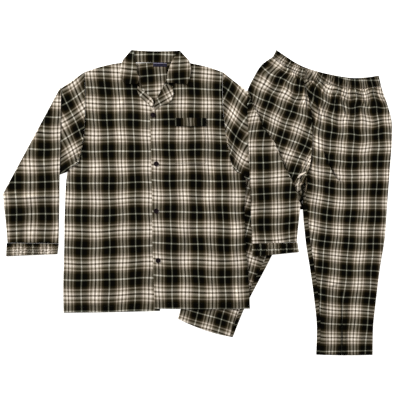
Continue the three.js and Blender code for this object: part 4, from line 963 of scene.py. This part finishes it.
COURSE_FOREARM_RIGHT = {
    "middle": (-500, 0),
    "warp": (0.341, 1.124, 0.011, 0.125, -0.012, 0.018, 0.021, 0.0047,
             -0.0041, -0.0065, -0.059, -0.0245, -0.0094, 0.0026, 0),
    "weft": (0.146, 0.014, -0.98, 0.006, 0.003, -0.013, 0.0378, 0.0043,
             -0.0032, 0.0181, 0.0164, 0.007, 0.0127, -0.0067, -0.0037)}
COURSE_FOREARM_LEFT = {
    "middle": (245, 20),
    "warp": (-0.127, 1.181, 0.015, 0.036, -0.06, 0.008, 0.0589, -0.1275,
             -0.0345, 0.0014, -0.006, -0.049, -0.0358, -0.0048, -0.0086),
    "weft": (-0.41, 0.062, -1.013, 0.066, -0.005, 0.013, -0.0126, -0.0048,
             0.004, 0.0084, -0.0728, -0.0215, -0.0004, 0.0069, -0.0032)}


def sleeve_shell(table, out_sign, sleeve, course_upper, course_lower):
    """A sleeve: rings of a flat tube run from the armhole to the fold, round a half circle, and
    back down to the cuff, with a puff on the forearm's top and its foot settled on the floor."""
    place = np.linspace(11, 4, 84)
    row = read_table(table, place)
    edge = row[:, 0:2]
    tangent = np.gradient(edge, axis=0)
    tangent /= length_of(tangent)
    armhole = edge + out_sign * SEAM_GAP * 1.3 * np.stack([tangent[:, 1], -tangent[:, 0]], 1)
    run = run_along(*armhole.T)
    share = run / run[-1]
    fold_share = np.linspace(0, 1, len(sleeve["fold"]))
    fold = np.stack([np.interp(share, fold_share, sleeve["fold"][:, k]) for k in (0, 1)], 1)
    out = np.array(sleeve["out"])
    centre = PANEL_TOP + FOLD_AIR / 2
    start = fold - out * centre
    end_inner, end_outer = np.array(sleeve["end_inner"]), np.array(sleeve["end_outer"])
    cuff = end_inner + (end_outer - end_inner) * share[:, None]
    upper, lower = np.linspace(0, 1, 34), np.linspace(0, 1, 66)
    bend = np.linspace(0, math.pi, 13)[1:-1]
    plan = np.concatenate([
        armhole[None] + (start - armhole)[None] * upper[:, None, None],
        np.broadcast_to(start, (len(bend), *start.shape)),
        start[None] + (cuff - start)[None] * lower[:, None, None]])
    x, y, h, across = flat_tube((plan[..., 0], plan[..., 1]), CLOTH, LAYER_GAP)
    n_upper, n_bend = len(upper), len(bend)
    turn = np.concatenate([np.zeros(n_upper), bend, np.full(len(lower), math.pi)])[:, None]
    reach = np.where((turn > 0) & (turn < math.pi), (centre - h) * np.sin(turn), 0)
    lift = lift_at(x, y)
    z = lift + centre - (centre - h) * np.cos(turn)
    first, last = armhole[-1], start[-1]
    past = ((last[0] - first[0]) * (y - first[1]) - (last[1] - first[1]) * (x - first[0]))
    past = out_sign * past / np.hypot(*(last - first))
    t = np.concatenate([np.full(n_upper + n_bend, -1), lower])[:, None]
    settle = (2 * centre - PANEL_TOP) * smoothstep(28, 80, past)
    middle = (end_inner + end_outer) / 2
    crown = np.maximum(0, 1 - ((x - middle[0]) / (np.linalg.norm(end_inner - end_outer) / 2)) ** 2)
    puff = FOREARM_PUFF * crown * np.sin(math.pi * np.clip(t * 1.15, 0, 1)) * (h < CLOTH)
    z = np.where(t >= 0, z - settle + np.maximum(0, puff), z)
    # Puckers run in from the armhole seam on the upper arm's top layer, deepest at the underarm.
    rows = np.concatenate([upper, np.ones(n_bend + len(lower))])[:, None]
    from_seam = rows * np.interp(across, share, np.linalg.norm(start - armhole, axis=1))
    seam_mm = across * run[-1]
    deep = (h > CLOTH + LAYER_GAP / 2) * (turn == 0) * (0.35 + 0.65 * smoothstep(0.45, 0.85, across))
    ripple = seam_mm / 2.3 + 1.1 * np.sin(seam_mm / 11) + from_seam / 14
    pucker = deep * bell(from_seam, 15)
    z = z + pucker * (1.3 + 1.3 * np.sin(ripple)) + deep * 2.2 * bell(from_seam, 7)
    fold = creases(sleeve["creases"], x, y)[0] * smoothstep(0, 12, np.abs(turn - math.pi / 2) * 8)
    z = z + np.where(t >= 0, fold * (1 - smoothstep(0.97, 1, t)), 0)
    z = z + np.where((h < CLOTH) & (t >= 0), sleeve["lip"] * bell(1 - t, 0.012), 0)
    # The check runs on round the fold: what is seen of the forearm is the tube's low layer.
    rolled = centre * turn * (turn < math.pi)
    seen = stripes(course_lower, x + out[0] * rolled, y + out[1] * rolled)
    above = stripes(course_upper, x + 1.6 * pucker * np.cos(ripple),
                    y + 1.6 * pucker * np.sin(ripple + 1))
    check = np.where((h > CLOTH + LAYER_GAP / 2)[..., None], above, seen)
    away = (armhole - start) / length_of(armhole - start)
    ruffle = deep * smoothstep(0.4, 0.7, across) * (1.6 + 2.2 * np.sin(ripple))
    ruffle = ruffle * bell(from_seam, 7)
    z = z + 0.5 * np.maximum(ruffle, 0)
    x = x + out[0] * reach + ruffle * np.interp(across, share, away[:, 0])
    y = y + out[1] * reach + ruffle * np.interp(across, share, away[:, 1])
    return cloth_shell(x, y, z, CLOTH, check, ring=True)


for side, table, out_sign, sleeve, upper, lower in [
    ("right", FRONT_RIGHT, 1, SLEEVE_RIGHT, COURSE_UPPER_RIGHT, COURSE_FOREARM_RIGHT),
    ("left", FRONT_LEFT, -1, SLEEVE_LEFT, COURSE_UPPER_LEFT, COURSE_FOREARM_LEFT)]:
    piece = add_piece(f"sleeve_{side}_flannel", [sleeve_shell(table, out_sign, sleeve, upper, lower)],
                      flannel, [f"sleeve_{side}"])


# Cuffs. Bands of doubled flannel round the sleeve ends, lying flat, their top layers rippled.
CUFF_CLOTH = 2.0
CUFF_RIGHT = np.array([[(-443, -131.4), (-610, -129.4)], [(-447, -165), (-612, -172)]])
CUFF_LEFT = np.array([[(175, -131.4), (321, -127.4)], [(176, -173), (326, -159)]])
COURSE_CUFF_RIGHT = {
    "middle": (-528, -150),
    "warp": (0.479, 1.134, -0.005),
    "weft": (0.919, 0.025, -1.67)}
COURSE_CUFF_LEFT = {
    "middle": (250, -148),
    "warp": (0.072, 1.205, 0.052),
    "weft": (0.48, 0.028, -1.2)}


def cuff_shell(corners, course):
    """A cuff: a flat tube whose top layer waves by a sine along it and by another aslant, and is
    drawn down beside its seam as a bell."""
    t = np.linspace(0, 1, 20)[:, None]
    share = np.linspace(0, 1, 130)[None]
    seam, hem = corners
    along = lambda axis: (seam[0][axis] * (1 - t) + hem[0][axis] * t) * (1 - share) + (
        seam[1][axis] * (1 - t) + hem[1][axis] * t) * share
    x, y, z, place = flat_tube((along(0), along(1)), CUFF_CLOTH, 2.15)
    top = smoothstep(4, 5, z)
    ends = smoothstep(0, 0.04, place) * smoothstep(0, 0.04, 1 - place)
    wave = np.sin(2 * math.pi * (7 * place + 0.12 * np.sin(9 * place)))
    crumple = np.sin(2 * math.pi * (19 * place + 2.2 * t + 0.5 * np.sin(14 * place)))
    crumple = crumple * np.sin(7 * t + 23 * place)
    z = z + top * ends * (0.8 * wave * (0.55 + 0.45 * t) + 0.7 * crumple)
    z = z - 1.7 * top * bell(t, 0.13)
    slip = 1.8 * top * crumple
    return cloth_shell(x, y, lift_at(x, y) + z, CUFF_CLOTH, stripes(course, x + slip, y + slip), ring=True)


for side, corners, course in [
    ("right", CUFF_RIGHT, COURSE_CUFF_RIGHT), ("left", CUFF_LEFT, COURSE_CUFF_LEFT)]:
    piece = add_piece(f"cuff_{side}_flannel", [cuff_shell(corners, course)], flannel,
                      [f"cuff_{side}"])


# Buttons. Four-hole buttons of moulded dark plastic, sewn on through the left front.
button_plastic, tree, out = new_material("moulded_plum_plastic")
place = add_node(tree, "ShaderNodeTexCoord").outputs["Object"]
swirl = add_node(tree, "ShaderNodeTexNoise", inputs={
    "Vector": place, "Scale": 190.0, "Detail": 3.0, "Distortion": 1.5})
shade = add_node(tree, "ShaderNodeValToRGB", {"stops": [(0.3, "#0b0609"), (0.7, "#1d1117")]},
                 {"Fac": swirl.outputs["Fac"]})
skin = add_node(tree, "ShaderNodeBsdfPrincipled", inputs={
    "Base Color": shade.outputs["Color"], "Roughness": 0.6, "Specular IOR Level": 0.05})
tree.links.new(skin.outputs["BSDF"], out.inputs["Surface"])


def button_shell(centre_x, centre_y, base):
    """A button turned from a profile of radius and height, with four wells of 1 mm radius."""
    profile = np.array([
        (0.05, 1.9), (0.6, 1.9), (1.2, 1.9), (1.6, 1.9), (2.0, 1.9), (2.5, 1.9), (3.0, 1.9), (3.5, 1.92),
        (4.0, 1.95), (4.6, 2.05), (5.2, 2.25), (5.8, 2.48), (6.5, 2.6), (7.2, 2.52), (7.7, 2.25), (8.0, 1.7),
        (7.9, 1.0), (7.3, 0.4), (6.4, 0.1), (5.0, 0.0), (2.5, 0.0), (0.05, 0.0)])
    turn = np.linspace(0, 2 * math.pi, 49)[:-1][None]
    radius, height = profile[:, 0:1], profile[:, 1:2]
    x, y = radius * np.cos(turn), radius * np.sin(turn)
    well = sum(np.exp(-((np.hypot(x - a, y - b) / 0.85) ** 6)) for a in (-1.9, 1.9) for b in (-1.9, 1.9))
    z = np.broadcast_to(height, x.shape) - 1.5 * np.clip(well, 0, 1) * (height > 1.5)
    grid = np.arange(x.size).reshape(x.shape)
    after = np.roll(grid, -1, 1)
    quads = np.stack([grid[:-1], grid[1:], after[1:], after[:-1]], -1).reshape(-1, 4)
    points = np.stack([x + centre_x, y + centre_y, z + base], -1).reshape(-1, 3)
    return points, quads, np.zeros((len(points), 3))


def button_base(x, y):
    """Height of a button's underside, on the left front."""
    return float(on_front(np.array(float(x)), np.array(float(y))))


for number, (x, y) in enumerate(BUTTON_PLACES, 1):
    add_piece(f"button_{number}_plastic", [button_shell(x, y, button_base(x, y))], button_plastic,
              [f"button_{number}"])


# Sewing. Lockstitches of brown-black polyester thread at the hems, edges, pocket and cuffs, 3.2 mm
# apart, and the threads that hold each button through its four holes.
thread, tree, out = new_material("spun_polyester_thread")
place = add_node(tree, "ShaderNodeTexCoord").outputs["Object"]
plies = add_node(tree, "ShaderNodeTexWave", {"bands_direction": "DIAGONAL"}, {
    "Vector": place, "Scale": 900.0})
shade = add_node(tree, "ShaderNodeValToRGB", {"stops": [(0.2, "#17120d"), (0.8, "#2e261d")]},
                 {"Fac": plies.outputs["Fac"]})
raised = add_node(tree, "ShaderNodeBump", inputs={
    "Strength": 0.5, "Distance": 0.0001, "Height": plies.outputs["Fac"]})
skin = add_node(tree, "ShaderNodeBsdfPrincipled", inputs={
    "Base Color": shade.outputs["Color"], "Roughness": 0.6, "Specular IOR Level": 0.3,
    "Normal": raised.outputs[0]})
tree.links.new(skin.outputs["BSDF"], out.inputs["Surface"])


STITCH_PITCH, STITCH_LENGTH = 3.2, 2.2


def stitch_shell(x_tips, y_tips, z_tips, thickness):
    """Stitches as slim diamonds: two tips and four points round the middle, half a thickness out."""
    tips = np.stack([x_tips, y_tips, z_tips], -1)
    middle = tips.mean(1)
    along = tips[:, 1] - tips[:, 0]
    aside = np.stack([-along[:, 1], along[:, 0], 0 * along[:, 0]], -1)
    aside *= thickness / 2 / np.maximum(np.linalg.norm(aside, axis=1, keepdims=True), 1e-6)
    up = np.array([0, 0, thickness / 2])
    points = np.stack([tips[:, 0], tips[:, 1], middle + aside, middle + up, middle - aside, middle - up], 1)
    ring = np.array([2, 3, 4, 5])
    one = np.concatenate([np.stack([np.zeros(4, int), np.roll(ring, -1), ring], -1),
                          np.stack([np.ones(4, int), ring, np.roll(ring, -1)], -1)])
    faces = one[None] + 6 * np.arange(len(points))[:, None, None]
    return points.reshape(-1, 3), faces.reshape(-1, 3), np.zeros((6 * len(points), 3))


def stitched(piece_name, paths):
    """Stitches 3.2 mm apart and 2.2 mm long along paths over a piece, whose height under each tip
    is found with a ray from above."""
    mesh = bpy.data.objects[piece_name].data
    tree = BVHTree.FromPolygons([v.co for v in mesh.vertices], [f.vertices for f in mesh.polygons])
    x_tips, y_tips = [], []
    for path_x, path_y in paths:
        run = run_along(path_x, path_y)
        start = np.arange(1.5, run[-1] - 3, STITCH_PITCH)[:, None] + [0, STITCH_LENGTH]
        x_tips.append(np.interp(start, run, path_x))
        y_tips.append(np.interp(start, run, path_y))
    x_tips, y_tips = np.concatenate(x_tips), np.concatenate(y_tips)
    hits = [tree.ray_cast((x / 1000, y / 1000, 0.05), (0, 0, -1))[0]
            for x, y in zip(x_tips.ravel(), y_tips.ravel())]
    z_tips = np.array([hit.z * 1000 if hit else -1 for hit in hits]).reshape(x_tips.shape)
    kept = z_tips.min(1) > 0
    return stitch_shell(x_tips[kept], y_tips[kept], z_tips[kept] + 0.08, 0.5)


def inset_line(table, rows, inset):
    """X and Y along a table's rows, a share of their width in from their inner ends."""
    row = read_table(table, rows)
    return tuple(row[:, k + 2] * (1 - inset) + row[:, k] * inset for k in (0, 1))


sweep = np.linspace(0.02, 0.98, 60)
down = np.linspace(0.15, 8, 80)
leaf_rows = np.linspace(0.15, 4.6, 30)
corners_x, corners_y = np.array([-69, -69, 25, 25.0]), np.array([243, 128, 128, 243.0])
edge_share = lambda inset: 1 - inset / panel_width(FRONT_LEFT, down)
for name, runs in [
    ("jacket_sewing", [
        ("jacket_front_right_flannel", [panel_point(FRONT_RIGHT, np.full(60, 0.26), sweep * 0.8)]),
        ("jacket_front_left_flannel", [panel_point(FRONT_LEFT, np.full(60, 0.27), sweep),
                                       panel_point(FRONT_LEFT, down, edge_share(6))]),
        ("pocket_flannel", [(corners_x, corners_y)]),
        ("pocket_band_flannel", [(np.linspace(-70, 26, 20), np.full(20, 246.5))]),
        ("collar_flannel", [inset_line(LEAF_RIGHT, leaf_rows, 0.09),
                            inset_line(LEAF_LEFT, leaf_rows, 0.07)]),
        ("cuff_right_flannel", [(np.linspace(-447, -606, 30), np.linspace(-136.5, -134.5, 30))]),
        ("cuff_left_flannel", [(np.linspace(179, 318, 30), np.linspace(-136.5, -132.8, 30))])]),
    ("trouser_sewing", [
        ("trouser_front_left_flannel", [panel_point(LEG_LEFT, np.full(60, 11.72), sweep * 0.92)]),
        ("trouser_front_right_flannel", [panel_point(LEG_RIGHT, np.full(60, 11.66), sweep * 0.9)]),
        ("waistband_flannel", [inset_line(WAISTBAND, np.linspace(0.1, 5.9, 90), 0.2)])])]:
    add_piece(name, [stitched(piece_name, paths) for piece_name, paths in runs], thread, [])

loops = []
for x, y in BUTTON_PLACES:
    lines = np.array([(-2.3, pair + k, 2.3, pair + k) for pair in (-1.9, 1.9) for k in (-0.45, 0, 0.45)])
    heights = np.full((6, 2), button_base(x, y) + 1.95)
    loops.append(stitch_shell(x + lines[:, 0::2], y + lines[:, 1::2], heights, 0.55))
add_piece("button_thread", loops, thread, [])
